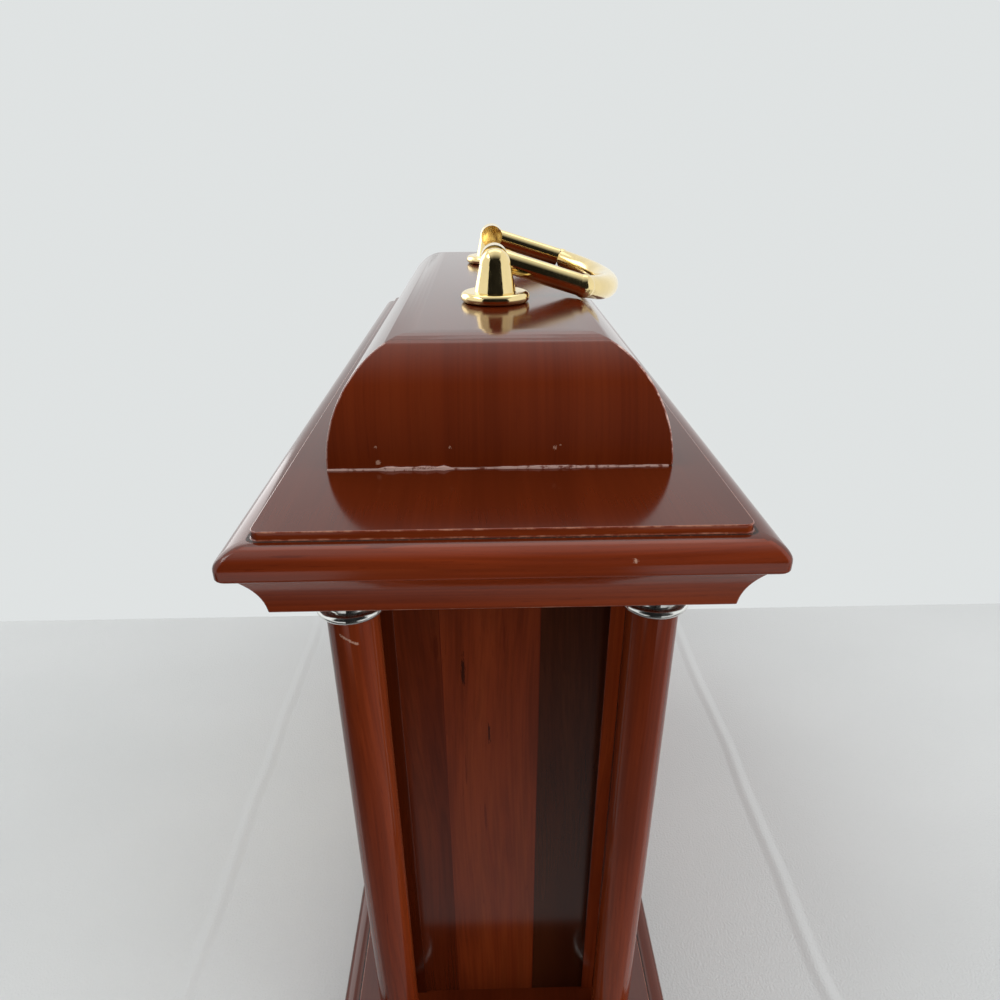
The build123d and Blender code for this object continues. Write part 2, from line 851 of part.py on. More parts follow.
# Fixed half of the bezel hinge: a leaf on the front panel with a knuckle above and below the lug
knuckle_start = bezel_knuckle_height / 2 + hinge_play
bracket_half_height = knuckle_start + bezel_side_knuckle
leaf_edge = hinge_x - bezel_leaf_reach
with BuildPart() as bezel_hinge_bracket:
    for level in (dial_z + knuckle_start, dial_z - bracket_half_height):
        with BuildSketch(Plane.XY.offset(level)):
            with Locations((hinge_x, hinge_y)):
                Circle(bezel_knuckle_radius)
            with Locations(((hinge_x + leaf_edge) / 2, (hinge_y + front_y) / 2)):
                Rectangle(bezel_leaf_reach, front_y - hinge_y)
        extrude(amount=bezel_side_knuckle)
    with BuildSketch(Plane.XY.offset(dial_z)):
        with Locations((leaf_edge - bezel_leaf_length / 2, front_y - hinge_leaf_thickness / 2)):
            Rectangle(bezel_leaf_length, hinge_leaf_thickness)
    extrude(amount=bracket_half_height, both=True)
    with BuildSketch(dial_section):
        with Locations((hinge_x, hinge_y)):
            Circle(bezel_pin_radius)
    extrude(amount=bracket_half_height, both=True, mode=Mode.SUBTRACT)
save(bezel_hinge_bracket, "bezel_hinge_bracket")

with BuildPart() as bezel_hinge_pin:
    with BuildSketch(dial_section):
        with Locations((hinge_x, hinge_y)):
            Circle(bezel_pin_radius)
    extrude(amount=bracket_half_height, both=True)
save(bezel_hinge_pin, "bezel_hinge_pin")

# Rear door, its knob and its two butt hinges
door_width = rear_opening_width - 2 * rear_door_gap
door_height = bay_height - 2 * rear_rail_height - 2 * rear_door_gap
with BuildPart() as rear_door:
    with BuildSketch(facing_back(back_y - rear_door_thickness, z=bay_middle)):
        Rectangle(door_width, door_height)
    extrude(amount=rear_door_thickness)
    chamfer(rear_door.faces().sort_by(Axis.Y)[-1].edges(), length=rear_door_edge)
save(rear_door, "rear_door")

knob_x = -(door_width / 2 - rear_knob_edge)
with BuildPart() as rear_door_knob:
    with BuildSketch(Plane(origin=(knob_x, back_y, bay_middle), x_dir=(1, 0, 0), z_dir=(0, 0, 1))):
        with BuildLine():
            rim_level = rear_knob_stem_length + rear_knob_bevel
            crown = CenterArc((0, rim_level), rear_knob_radius, 0, 90)
            Polyline(
                crown @ 1,
                (0, 0),
                (rear_knob_stem_radius, 0),
                (rear_knob_stem_radius, rear_knob_stem_length),
                crown @ 0,
            )
        make_face()
    revolve(axis=Axis((knob_x, 0, bay_middle), (0, 1, 0)))
save(rear_door_knob, "rear_door_knob")

rear_axis_x = rear_half
rear_axis_y = back_y + rear_knuckle_radius + rear_knuckle_gap
rear_hinge_levels = [
    bay_bottom + rear_rail_height + rear_hinge_end,
    bay_top - rear_rail_height - rear_hinge_end,
]
middle_half = rear_hinge_height / 6 - hinge_play / 2
side_start = rear_hinge_height / 6 + hinge_play / 2
side_length = rear_hinge_height / 2 - side_start
leaf_middle_y = back_y + hinge_leaf_thickness / 2


def hinge_leaf(direction):
    """One hinge leaf at the level of the origin, its plate to the given side of the axis."""
    plate_start = rear_axis_x + direction * rear_leaf_reach
    tab_start = rear_axis_x + direction * rear_door_gap
    if direction > 0:
        knuckles = [(side_start, side_length), (-side_start - side_length, side_length)]
        bore = rear_hinge_pin_radius
    else:
        knuckles = [(-middle_half, 2 * middle_half)]
        bore = rear_hinge_pin_radius + hinge_bore_clearance
    with BuildPart() as leaf:
        for bottom, length in knuckles:
            with BuildSketch(Plane.XY.offset(bottom)):
                with Locations((rear_axis_x, rear_axis_y)):
                    Circle(rear_knuckle_radius)
                with Locations(((plate_start + tab_start) / 2, leaf_middle_y)):
                    Rectangle(abs(plate_start - tab_start), hinge_leaf_thickness)
            extrude(amount=length)
        with BuildSketch(Plane.XY):
            with Locations((plate_start + direction * rear_leaf_length / 2, leaf_middle_y)):
                Rectangle(rear_leaf_length, hinge_leaf_thickness)
        extrude(amount=rear_hinge_height / 2, both=True)
        with BuildSketch(Plane.XY):
            with Locations((rear_axis_x, rear_axis_y)):
                Circle(bore)
        extrude(amount=rear_hinge_height / 2, both=True, mode=Mode.SUBTRACT)
    return leaf.part


for name, direction in (("rear_hinge_frame_leaves", 1), ("rear_hinge_door_leaves", -1)):
    single_leaf = hinge_leaf(direction)
    with BuildPart() as leaves:
        with Locations(*[(0, 0, level) for level in rear_hinge_levels]):
            add(single_leaf)
    save(leaves, name)

with BuildPart() as rear_hinge_pins:
    with Locations(*[(rear_axis_x, rear_axis_y, level) for level in rear_hinge_levels]):
        Cylinder(rear_hinge_pin_radius, rear_hinge_height)
save(rear_hinge_pins, "rear_hinge_pins")

# Movement layout, in the dial's plane: X to the right and Z up, seen from the front
movement_back = dial_back_y + movement_depth
wall_front = dial_back_y + movement_wall
lid_front = movement_back - movement_wall
stem_front = dial_back_y - stem_length
case_half = movement_width / 2
cavity_half = case_half - movement_wall
centre = (0.0, dial_z)


def along(start, bearing, distance):
    """Point at a bearing in degrees and a distance from another, in the dial's plane."""
    angle = math.radians(bearing)
    return (start[0] + distance * math.cos(angle), start[1] + distance * math.sin(angle))


motion_distance = motion_module * (cannon_teeth + minute_wheel_teeth) / 2
hour_module = 2 * motion_distance / (minute_pinion_teeth + hour_wheel_teeth)
third_distance = third_module * (second_pinion_teeth + third_wheel_teeth) / 2
centre_module = 2 * third_distance / (third_pinion_teeth + centre_wheel_teeth)
fifth_distance = second_module * (second_wheel_teeth + fifth_pinion_teeth) / 2
rotor_distance = rotor_module * (fifth_wheel_teeth + rotor_pinion_teeth) / 2
minute_wheel_place = along(centre, minute_wheel_bearing, motion_distance)
third_place = along(centre, third_wheel_bearing, third_distance)
fifth_place = along(centre, fifth_wheel_bearing, fifth_distance)
rotor_place = along(fifth_place, rotor_bearing, rotor_distance)


def mesh_phase(teeth, phase, other_teeth, bearing):
    """Phase in degrees at which the other wheel, at that bearing, has a gap for this wheel's tooth."""
    return bearing + 180 + 180 / other_teeth - (phase - bearing) * teeth / other_teeth


minute_phase = mesh_phase(cannon_teeth, 0, minute_wheel_teeth, minute_wheel_bearing)
hour_phase = mesh_phase(minute_pinion_teeth, minute_phase, hour_wheel_teeth, minute_wheel_bearing + 180)
third_phase = mesh_phase(second_pinion_teeth, 0, third_wheel_teeth, third_wheel_bearing)
centre_phase = mesh_phase(third_pinion_teeth, third_phase, centre_wheel_teeth, third_wheel_bearing + 180)
fifth_phase = mesh_phase(second_wheel_teeth, 0, fifth_pinion_teeth, fifth_wheel_bearing)
rotor_phase = mesh_phase(fifth_wheel_teeth, fifth_phase, rotor_pinion_teeth, rotor_bearing)


def level_back(level):
    """Depth of the rear face of the wheels on a level, counted from the front of the movement."""
    return wall_front + first_level_gap + (level - 1) * level_pitch + wheel_thickness


def involute(angle):
    """Involute function of a pressure angle in radians."""
    return math.tan(angle) - angle


def tooth_points(teeth, module, addendum, phase):
    """Outline of a toothed wheel with involute flanks, thinned for backlash."""
    pitch = teeth * module / 2
    base = pitch * math.cos(math.radians(pressure_angle))
    tip = pitch + addendum * module
    root = pitch - dedendum * module
    half_tooth = math.pi / (2 * teeth) - tooth_backlash * module / (2 * pitch)
    half_tooth += involute(math.radians(pressure_angle))
    steps = flank_points - 1
    flank = []
    for step in range(flank_points):
        radius = root + (tip - root) * step / steps
        flank.append((radius, half_tooth - involute(math.acos(min(1.0, base / radius)))))
    points = []
    for tooth in range(teeth):
        middle = math.radians(phase) + 2 * math.pi * tooth / teeth
        for radius, half in flank:
            points.append((radius * math.cos(middle - half), radius * math.sin(middle - half)))
        for radius, half in reversed(flank):
            points.append((radius * math.cos(middle + half), radius * math.sin(middle + half)))
    return points


def toothed_disc(teeth, module, addendum, place, level, phase):
    """A toothed wheel or pinion on one level of the movement."""
    with BuildPart() as disc:
        with BuildSketch(facing_front(level_back(level), place[0], place[1])):
            Polygon(*tooth_points(teeth, module, addendum, phase), align=None)
        extrude(amount=wheel_thickness)
    return disc.part


def turned(place, *runs):
    """A turned arbor along Y, from runs of radius, front depth and back depth."""
    with BuildPart() as shaft:
        for radius, front, back in runs:
            with BuildSketch(facing_front(back, place[0], place[1])):
                Circle(radius)
            extrude(amount=back - front)
    return shaft.part


def pivoted_arbor(place):
    """An arbor between the walls of the movement, with a thinner pivot in each wall."""
    return turned(
        place,
        (arbor_radius, wall_front + end_play, lid_front - end_play),
        (pivot_radius, dial_back_y + end_play, movement_back - end_play),
    )


# Movement case: front half with the threaded stem, walls and battery bay, and the rear lid
bay_top_z = dial_z - divider_drop - movement_wall
bay_bottom_z = dial_z - movement_bottom + movement_wall
cavity_top_z = dial_z + movement_top - movement_wall
cavity_bottom_z = dial_z - divider_drop
stator_back = level_back(3)
stator_front = stator_back - stator_thickness
peg_places = [
    (rotor_place[0] - stator_peg_offset, rotor_place[1] + stator_peg_offset),
    (rotor_place[0] + stator_peg_offset, rotor_place[1] + stator_peg_offset),
]
pivot_bore = pivot_radius + running_clearance
with BuildPart() as movement_front_case:
    with BuildSketch(facing_front(lid_front)):
        with Locations((0, dial_z + (movement_top - movement_bottom) / 2)):
            Rectangle(movement_width, movement_top + movement_bottom)
    extrude(amount=lid_front - dial_back_y)
    with BuildSketch(facing_front(lid_front)):
        with Locations((0, (cavity_top_z + cavity_bottom_z) / 2)):
            Rectangle(2 * cavity_half, cavity_top_z - cavity_bottom_z)
        with Locations((0, (bay_top_z + bay_bottom_z) / 2)):
            Rectangle(2 * cavity_half, bay_top_z - bay_bottom_z)
    extrude(amount=lid_front - wall_front, mode=Mode.SUBTRACT)
    add(turned(centre, (stem_radius, stem_front, dial_back_y)))
    for place in peg_places:
        add(turned(place, (stator_peg_radius, wall_front, stator_front)))
    add(
        turned(centre, (hour_tube_radius + running_clearance, stem_front, wall_front)),
        mode=Mode.SUBTRACT,
    )
    for place in (minute_wheel_place, third_place, fifth_place, rotor_place):
        add(turned(place, (pivot_bore, dial_back_y, wall_front)), mode=Mode.SUBTRACT)
save(movement_front_case, "movement_front_case")

with BuildPart() as movement_rear_case:
    with BuildSketch(facing_front(movement_back)):
        with Locations((0, (dial_z + movement_top + bay_top_z) / 2)):
            Rectangle(movement_width, dial_z + movement_top - bay_top_z)
    extrude(amount=movement_wall)
    for place in (centre, third_place, fifth_place, rotor_place):
        add(turned(place, (pivot_bore, lid_front, movement_back)), mode=Mode.SUBTRACT)
    arbor_bore = arbor_radius + running_clearance
    add(turned(minute_wheel_place, (arbor_bore, lid_front, movement_back)), mode=Mode.SUBTRACT)
save(movement_rear_case, "movement_rear_case")

with BuildPart() as stem_nut:
    with BuildSketch(facing_front(dial_front_y, z=dial_z)):
        RegularPolygon(nut_flats / 2, 6, major_radius=False)
        Circle(stem_radius, mode=Mode.SUBTRACT)
    extrude(amount=nut_height)
save(stem_nut, "stem_nut")

# Step motor: stator plate with a leg through the coil, and the coil
leg_x = -cavity_half + coil_wall_gap + coil_radius
head_left = leg_x - stator_leg_width / 2
head_right = rotor_place[0] + stator_head_reach
head_bottom = rotor_place[1] - stator_head_height / 2
leg_middle_z = head_bottom - stator_leg_length / 2
with BuildPart() as stator:
    with BuildSketch(facing_front(stator_back)):
        with Locations(((head_left + head_right) / 2, rotor_place[1])):
            Rectangle(head_right - head_left, stator_head_height)
        with Locations((leg_x, leg_middle_z)):
            Rectangle(stator_leg_width, stator_leg_length)
        with Locations(rotor_place):
            Circle(magnet_radius + stator_gap, mode=Mode.SUBTRACT)
    extrude(amount=stator_thickness)
save(stator, "stator")

stator_middle_y = stator_back - stator_thickness / 2
with BuildPart() as coil:
    with BuildSketch(Plane.XY.offset(leg_middle_z)):
        with Locations((leg_x, stator_middle_y)):
            Circle(coil_radius)
            Rectangle(
                stator_leg_width + 2 * coil_gap, stator_thickness + 2 * coil_gap, mode=Mode.SUBTRACT
            )
    extrude(amount=coil_length / 2, both=True)
save(coil, "coil")

# Battery and its contacts
battery_z = (bay_top_z + bay_bottom_z) / 2
battery_y = wall_front + battery_rest_gap + battery_radius
nub_end = cavity_half - contact_thickness - battery_rest_gap
body_end = nub_end - battery_nub_length
with BuildPart() as battery:
    with BuildSketch(Plane(origin=(body_end, battery_y, battery_z), z_dir=(-1, 0, 0))):
        Circle(battery_radius)
    extrude(amount=battery_length)
    with BuildSketch(Plane(origin=(body_end, battery_y, battery_z), z_dir=(1, 0, 0))):
        Circle(battery_nub_radius)
    extrude(amount=battery_nub_length)
save(battery, "battery")

spring_reach = body_end - battery_length - battery_rest_gap + cavity_half
with BuildPart() as battery_contacts:
    for sign in (-1, 1):
        with BuildSketch(Plane(origin=(sign * cavity_half, battery_y, battery_z), z_dir=(-sign, 0, 0))):
            Rectangle(contact_width, contact_width)
        extrude(amount=contact_thickness)
    with BuildSketch(Plane(origin=(-cavity_half, battery_y, battery_z), z_dir=(1, 0, 0))):
        Circle(battery_nub_radius)
    extrude(amount=spring_reach)
save(battery_contacts, "battery_contacts")

# Depths at which the hands sit on their tubes, from the stem outwards
hour_hand_back = stem_front - hand_gap
hour_tube_front = hour_hand_back - hand_collet_height
minute_hand_back = hour_tube_front - hand_gap
minute_tube_front = minute_hand_back - hand_collet_height
second_hand_back = minute_tube_front - hand_gap
second_arbor_front = second_hand_back - hand_collet_height

# Motion work: hour wheel, minute arbor with the cannon pinion, and minute wheel with its pinion
with BuildPart() as hour_wheel:
    add(toothed_disc(hour_wheel_teeth, hour_module, wheel_addendum, centre, 1, hour_phase))
    add(turned(centre, (hour_tube_radius, hour_tube_front, level_back(1))))
    minute_bore = minute_tube_radius + running_clearance
    add(turned(centre, (minute_bore, hour_tube_front, level_back(1))), mode=Mode.SUBTRACT)
save(hour_wheel, "hour_wheel")

with BuildPart() as minute_arbor:
    add(turned(centre, (minute_tube_radius, minute_tube_front, level_back(3))))
    add(toothed_disc(cannon_teeth, motion_module, pinion_addendum, centre, 2, 0))
    second_bore = second_arbor_radius + running_clearance
    add(turned(centre, (second_bore, minute_tube_front, level_back(3))), mode=Mode.SUBTRACT)
save(minute_arbor, "minute_arbor")

knob_front = movement_back + knob_stand_off
knob_back = knob_front + knob_height
with BuildPart() as minute_wheel:
    add(
        turned(
            minute_wheel_place,
            (arbor_radius, wall_front + end_play, knob_back),
            (pivot_radius, dial_back_y + end_play, wall_front + end_play),
        )
    )
    add(toothed_disc(
        minute_wheel_teeth, motion_module, wheel_addendum, minute_wheel_place, 2, minute_phase
    ))
    add(toothed_disc(
        minute_pinion_teeth, hour_module, pinion_addendum, minute_wheel_place, 1, minute_phase
    ))
save(minute_wheel, "minute_wheel")

with BuildPart() as setting_knob:
    with BuildSketch(facing_front(knob_back, *minute_wheel_place)):
        Circle(knob_radius)
        with PolarLocations(knob_radius, knob_ribs):
            Circle(knob_rib_radius)
        Circle(arbor_radius, mode=Mode.SUBTRACT)
    extrude(amount=knob_height)
save(setting_knob, "setting_knob")

# Going train: centre wheel, third wheel, second wheel, fifth wheel and rotor
with BuildPart() as centre_wheel:
    add(toothed_disc(centre_wheel_teeth, centre_module, wheel_addendum, centre, 3, centre_phase))
    add(turned(centre, (minute_bore, level_back(2), level_back(3))), mode=Mode.SUBTRACT)
save(centre_wheel, "centre_wheel")

with BuildPart() as third_wheel:
    add(pivoted_arbor(third_place))
    add(toothed_disc(third_wheel_teeth, third_module, wheel_addendum, third_place, 4, third_phase))
    add(toothed_disc(third_pinion_teeth, centre_module, pinion_addendum, third_place, 3, third_phase))
save(third_wheel, "third_wheel")

with BuildPart() as second_wheel:
    add(
        turned(
            centre,
            (second_arbor_radius, second_arbor_front, lid_front - end_play),
            (pivot_radius, lid_front - end_play, movement_back - end_play),
        )
    )
    add(toothed_disc(second_pinion_teeth, third_module, pinion_addendum, centre, 4, 0))
    add(toothed_disc(second_wheel_teeth, second_module, wheel_addendum, centre, 5, 0))
save(second_wheel, "second_wheel")

with BuildPart() as fifth_wheel:
    add(pivoted_arbor(fifth_place))
    add(toothed_disc(fifth_pinion_teeth, second_module, pinion_addendum, fifth_place, 5, fifth_phase))
    add(toothed_disc(fifth_wheel_teeth, rotor_module, wheel_addendum, fifth_place, 6, fifth_phase))
save(fifth_wheel, "fifth_wheel")

magnet_front = stator_middle_y - magnet_length / 2
with BuildPart() as rotor:
    add(pivoted_arbor(rotor_place))
    add(turned(rotor_place, (magnet_radius, magnet_front, magnet_front + magnet_length)))
    add(toothed_disc(rotor_pinion_teeth, rotor_module, pinion_addendum, rotor_place, 6, rotor_phase))
save(rotor, "rotor")


def hand_plane(back, clockwise):
    """Plane of a hand: local Y points to the hand's place on the dial, clockwise from twelve."""
    angle = math.radians(clockwise)
    return Plane(
        origin=(0, back, dial_z),
        x_dir=(math.cos(angle), 0, -math.sin(angle)),
        z_dir=(0, -1, 0),
    )


def spade_hand(back, clockwise, length, spade_place, spade_radius, collet, bore):
    """A spade hand: a collet, a tapered stalk, a pierced disc and a pointed tip."""
    plane = hand_plane(back, clockwise)
    with BuildPart() as hand:
        with BuildSketch(plane):
            Polygon(
                (-stalk_foot, 0),
                (stalk_foot, 0),
                (stalk_tip, length),
                (-stalk_tip, length),
                align=None,
            )
            Polygon(
                (-spade_radius, spade_place),
                (spade_radius, spade_place),
                (stalk_tip, spade_place + spade_point * spade_radius),
                (-stalk_tip, spade_place + spade_point * spade_radius),
                align=None,
            )
            with Locations((0, spade_place)):
                Circle(spade_radius)
                Circle(spade_radius * spade_piercing, mode=Mode.SUBTRACT)
        extrude(amount=hand_thickness)
        with BuildSketch(plane):
            Circle(collet)
        extrude(amount=hand_collet_height)
        with BuildSketch(plane):
            Circle(bore)
        extrude(amount=hand_collet_height, mode=Mode.SUBTRACT)
    return hand


minute_turn = 6.0 * time_minutes
hour_turn = 30.0 * time_hours + minute_turn / 12
second_turn = 6.0 * time_seconds
hour_hand = spade_hand(
    hour_hand_back, hour_turn, hour_hand_length, hour_spade_place, hour_spade_radius,
    hour_collet_radius, hour_tube_radius,
)
save(hour_hand, "hour_hand")
minute_hand = spade_hand(
    minute_hand_back, minute_turn, minute_hand_length, minute_spade_place, minute_spade_radius,
    minute_collet_radius, minute_tube_radius,
)
save(minute_hand, "minute_hand")

with BuildPart() as second_hand:
    second_plane = hand_plane(second_hand_back, second_turn)
    with BuildSketch(second_plane):
        Polygon(
            (-second_hand_width, -second_hand_tail),
            (second_hand_width, -second_hand_tail),
            (second_hand_width / 2, second_hand_length),
            (-second_hand_width / 2, second_hand_length),
            align=None,
        )
        with Locations((0, -second_hand_tail)):
            Circle(second_tail_radius)
    extrude(amount=hand_thickness)
    with BuildSketch(second_plane):
        Circle(second_collet_radius)
    extrude(amount=hand_collet_height)
    with BuildSketch(second_plane):
        Circle(second_arbor_radius)
    extrude(amount=hand_collet_height, mode=Mode.SUBTRACT)
save(second_hand, "second_hand")
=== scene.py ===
# %% [markdown]
# # A bell-topped mantel clock
#
# This lesson dresses a clock whose solids already exist. The frame gives every solid in metres, with the feet
# on z = 0 and the dial towards -Y, so nothing has to be measured or fitted. Solids whose shape is right keep
# their mesh and get a finish. Pieces that need softer edges, printing or small repairs are modelled here and
# stand in for the solids that they cover.

# %% Frame
import math
import random

import bpy
from mathutils import Matrix, Vector


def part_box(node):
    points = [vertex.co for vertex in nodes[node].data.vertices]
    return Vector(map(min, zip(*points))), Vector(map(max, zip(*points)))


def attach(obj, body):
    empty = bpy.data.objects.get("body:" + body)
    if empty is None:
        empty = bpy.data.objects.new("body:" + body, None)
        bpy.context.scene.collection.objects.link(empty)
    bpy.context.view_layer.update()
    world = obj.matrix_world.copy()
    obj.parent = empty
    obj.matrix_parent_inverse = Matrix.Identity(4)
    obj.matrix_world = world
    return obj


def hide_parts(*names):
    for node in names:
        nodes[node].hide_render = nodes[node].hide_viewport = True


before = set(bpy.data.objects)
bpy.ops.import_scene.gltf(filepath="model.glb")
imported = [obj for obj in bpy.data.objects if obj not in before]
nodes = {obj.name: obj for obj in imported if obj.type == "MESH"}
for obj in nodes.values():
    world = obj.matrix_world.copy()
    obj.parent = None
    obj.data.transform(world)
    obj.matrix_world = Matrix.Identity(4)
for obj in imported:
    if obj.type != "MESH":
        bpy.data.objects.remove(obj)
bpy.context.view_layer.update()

# %% [markdown]
# ## Camera
#
# The photograph was taken close to one end of the clock with a wide lens, a little above the handle. The
# camera's place and turn are worked out from the edges of the cornice. A wide lens this near makes the far
# end much smaller, so the distance matters as much as the angle.

# %% Camera
MM = 0.001
IMAGE_SIDE = 1000
FOCAL_PIXELS = 690.3
CAMERA_PLACE = Vector((336.5, -4.15, 380.8)) * MM
CAMERA_DOWN = math.radians(26.11)
CAMERA_ASIDE = math.radians(1.13)
CAMERA_ROLL = math.radians(-0.37)

level_forward = Vector((-math.cos(CAMERA_ASIDE), math.sin(CAMERA_ASIDE), 0))
level_right = Vector((math.sin(CAMERA_ASIDE), math.cos(CAMERA_ASIDE), 0))
upright = Vector((0, 0, 1))
forward = level_forward * math.cos(CAMERA_DOWN) - upright * math.sin(CAMERA_DOWN)
camera_up = level_forward * math.sin(CAMERA_DOWN) + upright * math.cos(CAMERA_DOWN)
picture_right = level_right * math.cos(CAMERA_ROLL) + camera_up * math.sin(CAMERA_ROLL)
picture_up = camera_up * math.cos(CAMERA_ROLL) - level_right * math.sin(CAMERA_ROLL)

bpy.ops.object.select_all(action="DESELECT")
bpy.ops.object.camera_add(location=CAMERA_PLACE)
camera = bpy.context.object
turn = Matrix((picture_right, picture_up, -forward)).transposed()
camera.matrix_world = Matrix.Translation(CAMERA_PLACE) @ turn.to_4x4()
camera.data.sensor_width = 36
camera.data.lens = FOCAL_PIXELS / IMAGE_SIDE * camera.data.sensor_width
camera.data.clip_start = 0.01
bpy.context.scene.camera = camera
print("camera at", tuple(round(v, 4) for v in camera.location), "lens", round(camera.data.lens, 2))

# %% [markdown]
# ## Table and light
#
# A dark gloss lacquer shows its surroundings more than its own colour, so the room matters. The clock stands
# on a pale table near a pale wall. Five soft boxes light it: one high on the left, one on the dial's side, a
# large one on the right, one overhead and a weak one in front. A dark card behind the camera plays the unlit
# side of the room: without it the near end would look milky. It could be one tilted board, but a floor part,
# an upright part and a canopy, extruded from one another, surround the clock's end without a gap. Only
# reflections see the card, so it takes no light from the table.

# %% Table
TABLE_FAR_EDGE = -0.2
TABLE_NEAR_EDGE = 1.1
TABLE_HALF_WIDTH = 0.9

bpy.ops.object.select_all(action="DESELECT")
bpy.ops.mesh.primitive_plane_add(size=1)
table = bpy.context.object
table.name = "table_top"
table.scale = (TABLE_NEAR_EDGE - TABLE_FAR_EDGE, 2 * TABLE_HALF_WIDTH, 1)
table.location = ((TABLE_NEAR_EDGE + TABLE_FAR_EDGE) / 2, 0, 0)
bpy.ops.object.transform_apply(location=True, rotation=True, scale=True)
print("table from x", TABLE_FAR_EDGE, "to", TABLE_NEAR_EDGE)


# %% Selecting by place
def pick(piece, kind, test):
    """Select the faces or edges of a piece that pass a test, and stay in edit mode."""
    bpy.ops.object.select_all(action="DESELECT")
    piece.select_set(True)
    bpy.context.view_layer.objects.active = piece
    bpy.ops.object.mode_set(mode="EDIT")
    bpy.ops.mesh.select_mode(type=kind)
    bpy.ops.mesh.select_all(action="DESELECT")
    bpy.ops.object.mode_set(mode="OBJECT")
    places = piece.data.vertices
    for part in piece.data.polygons if kind == "FACE" else piece.data.edges:
        part.select = test([places[v].co for v in part.vertices])
    bpy.ops.object.mode_set(mode="EDIT")


print("pick selects by place")

# %% Dark card
HAIR = 1e-5
CARD_START = 0.19
CARD_BACK = 0.66
CARD_TOP = 1.0
CARD_CANOPY = (-0.3, 1.3)
CARD_HALF_WIDTH = 0.6
CARD_LIFT = 0.002

bpy.ops.object.select_all(action="DESELECT")
bpy.ops.mesh.primitive_plane_add(size=1)
dark_card = bpy.context.object
dark_card.name = "dark_card"
dark_card.scale = (CARD_BACK - CARD_START, 2 * CARD_HALF_WIDTH, 1)
dark_card.location = ((CARD_BACK + CARD_START) / 2, 0, CARD_LIFT)
bpy.ops.object.transform_apply(location=True, rotation=True, scale=True)
pick(dark_card, "EDGE", lambda ends: all(p.x > CARD_BACK - HAIR for p in ends))
bpy.ops.mesh.extrude_region_move(TRANSFORM_OT_translate={"value": (0, 0, CARD_TOP - CARD_LIFT)})
canopy = (CARD_CANOPY[0] - CARD_BACK, 0, CARD_CANOPY[1] - CARD_TOP)
bpy.ops.mesh.extrude_region_move(TRANSFORM_OT_translate={"value": canopy})
bpy.ops.object.mode_set(mode="OBJECT")
for sight in ("visible_camera", "visible_diffuse", "visible_shadow", "visible_transmission"):
    setattr(dark_card, sight, False)
print("dark card from x", CARD_START, "to", CARD_BACK)


# %% Soft boxes
def soft_box(name, place, aim, width, height, watts):
    """Add a rectangular lamp that looks from its place to its aim."""
    bpy.ops.object.select_all(action="DESELECT")
    bpy.ops.object.light_add(type="AREA", location=place)
    lamp = bpy.context.object
    lamp.name = name
    lamp.data.shape = "RECTANGLE"
    lamp.data.size = width
    lamp.data.size_y = height
    lamp.data.energy = watts
    lamp.rotation_euler = (Vector(aim) - Vector(place)).to_track_quat("-Z", "Y").to_euler()
    lamp.visible_camera = False
    return lamp


CLOCK_MIDDLE = (0, 0, 0.2)
LEFT_TABLE = (0.1, -0.35, 0)
soft_box("left_box", place=(0.15, -0.7, 1.4), aim=LEFT_TABLE, width=0.7, height=0.7, watts=6.5)
soft_box("dial_box", place=(-0.9, -1.05, 0.7), aim=CLOCK_MIDDLE, width=1.0, height=1.0, watts=7.0)
soft_box("top_box", place=(-0.35, 0, 1.5), aim=CLOCK_MIDDLE, width=1.2, height=1.2, watts=4.0)
# These two would show as white patches in the polish, so reflections don't see them
unmirrored = [
    soft_box("right_box", place=(0.3, 1.25, 0.6), aim=CLOCK_MIDDLE, width=1.4, height=1.1, watts=10.0),
    soft_box("front_fill", place=(0.58, 0.25, 0.5), aim=CLOCK_MIDDLE, width=0.5, height=0.5, watts=0.75),
]
for lamp in unmirrored:
    lamp.visible_glossy = False

# %% [markdown]
# ## Node helpers
#
# Materials here are graphs of nodes. A few short helpers keep the graphs readable: one adds a node, one joins
# a value or another node's output to a socket, and the rest name the sums, groups and settings that come up
# again and again.


# %% Nodes and sums
def put(tree, target, value):
    """Join an output to a socket, or type a plain value into it."""
    if isinstance(value, bpy.types.NodeSocket):
        tree.links.new(value, target)
    elif value is not None:
        target.default_value = value


def node(tree, kind, **settings):
    """Add a node and set its options."""
    made = tree.nodes.new(kind)
    for name, value in settings.items():
        setattr(made, name, value)
    return made


def sum_of(tree, operation, first, second=None, third=None):
    """One step of arithmetic on numbers."""
    step = node(tree, "ShaderNodeMath", operation=operation)
    for socket, value in zip(step.inputs, (first, second, third)):
        put(tree, socket, value)
    return step.outputs[0]


def product_of(tree, *factors):
    """Several numbers multiplied together."""
    result = factors[0]
    for factor in factors[1:]:
        result = sum_of(tree, "MULTIPLY", result, factor)
    return result


def distance_from(tree, value, mark):
    """How far a number lies from a mark, on either side."""
    return sum_of(tree, "ABSOLUTE", sum_of(tree, "SUBTRACT", value, mark))


print("helpers for sums ready")


# %% Places
def vector_sum(tree, operation, *vectors):
    """One step of arithmetic on places."""
    step = node(tree, "ShaderNodeVectorMath", operation=operation)
    for socket, vector in zip(step.inputs, vectors):
        put(tree, socket, vector)
    return step.outputs[0]


def scaled(tree, vector, factors):
    """A place stretched along each axis."""
    return vector_sum(tree, "MULTIPLY", vector, factors)


def axes(tree, vector):
    """The three numbers of a place."""
    step = node(tree, "ShaderNodeSeparateXYZ")
    put(tree, step.inputs[0], vector)
    return step.outputs


print("helpers for places ready")


# %% Ranges, colours and clouds
def spread(tree, value, low, high, start=0.0, end=1.0):
    """Stretch a range of values to another range, with soft ends."""
    step = node(tree, "ShaderNodeMapRange", interpolation_type="SMOOTHSTEP")
    for socket, number in zip(step.inputs, (value, low, high, start, end)):
        put(tree, socket, number)
    return step.outputs[0]


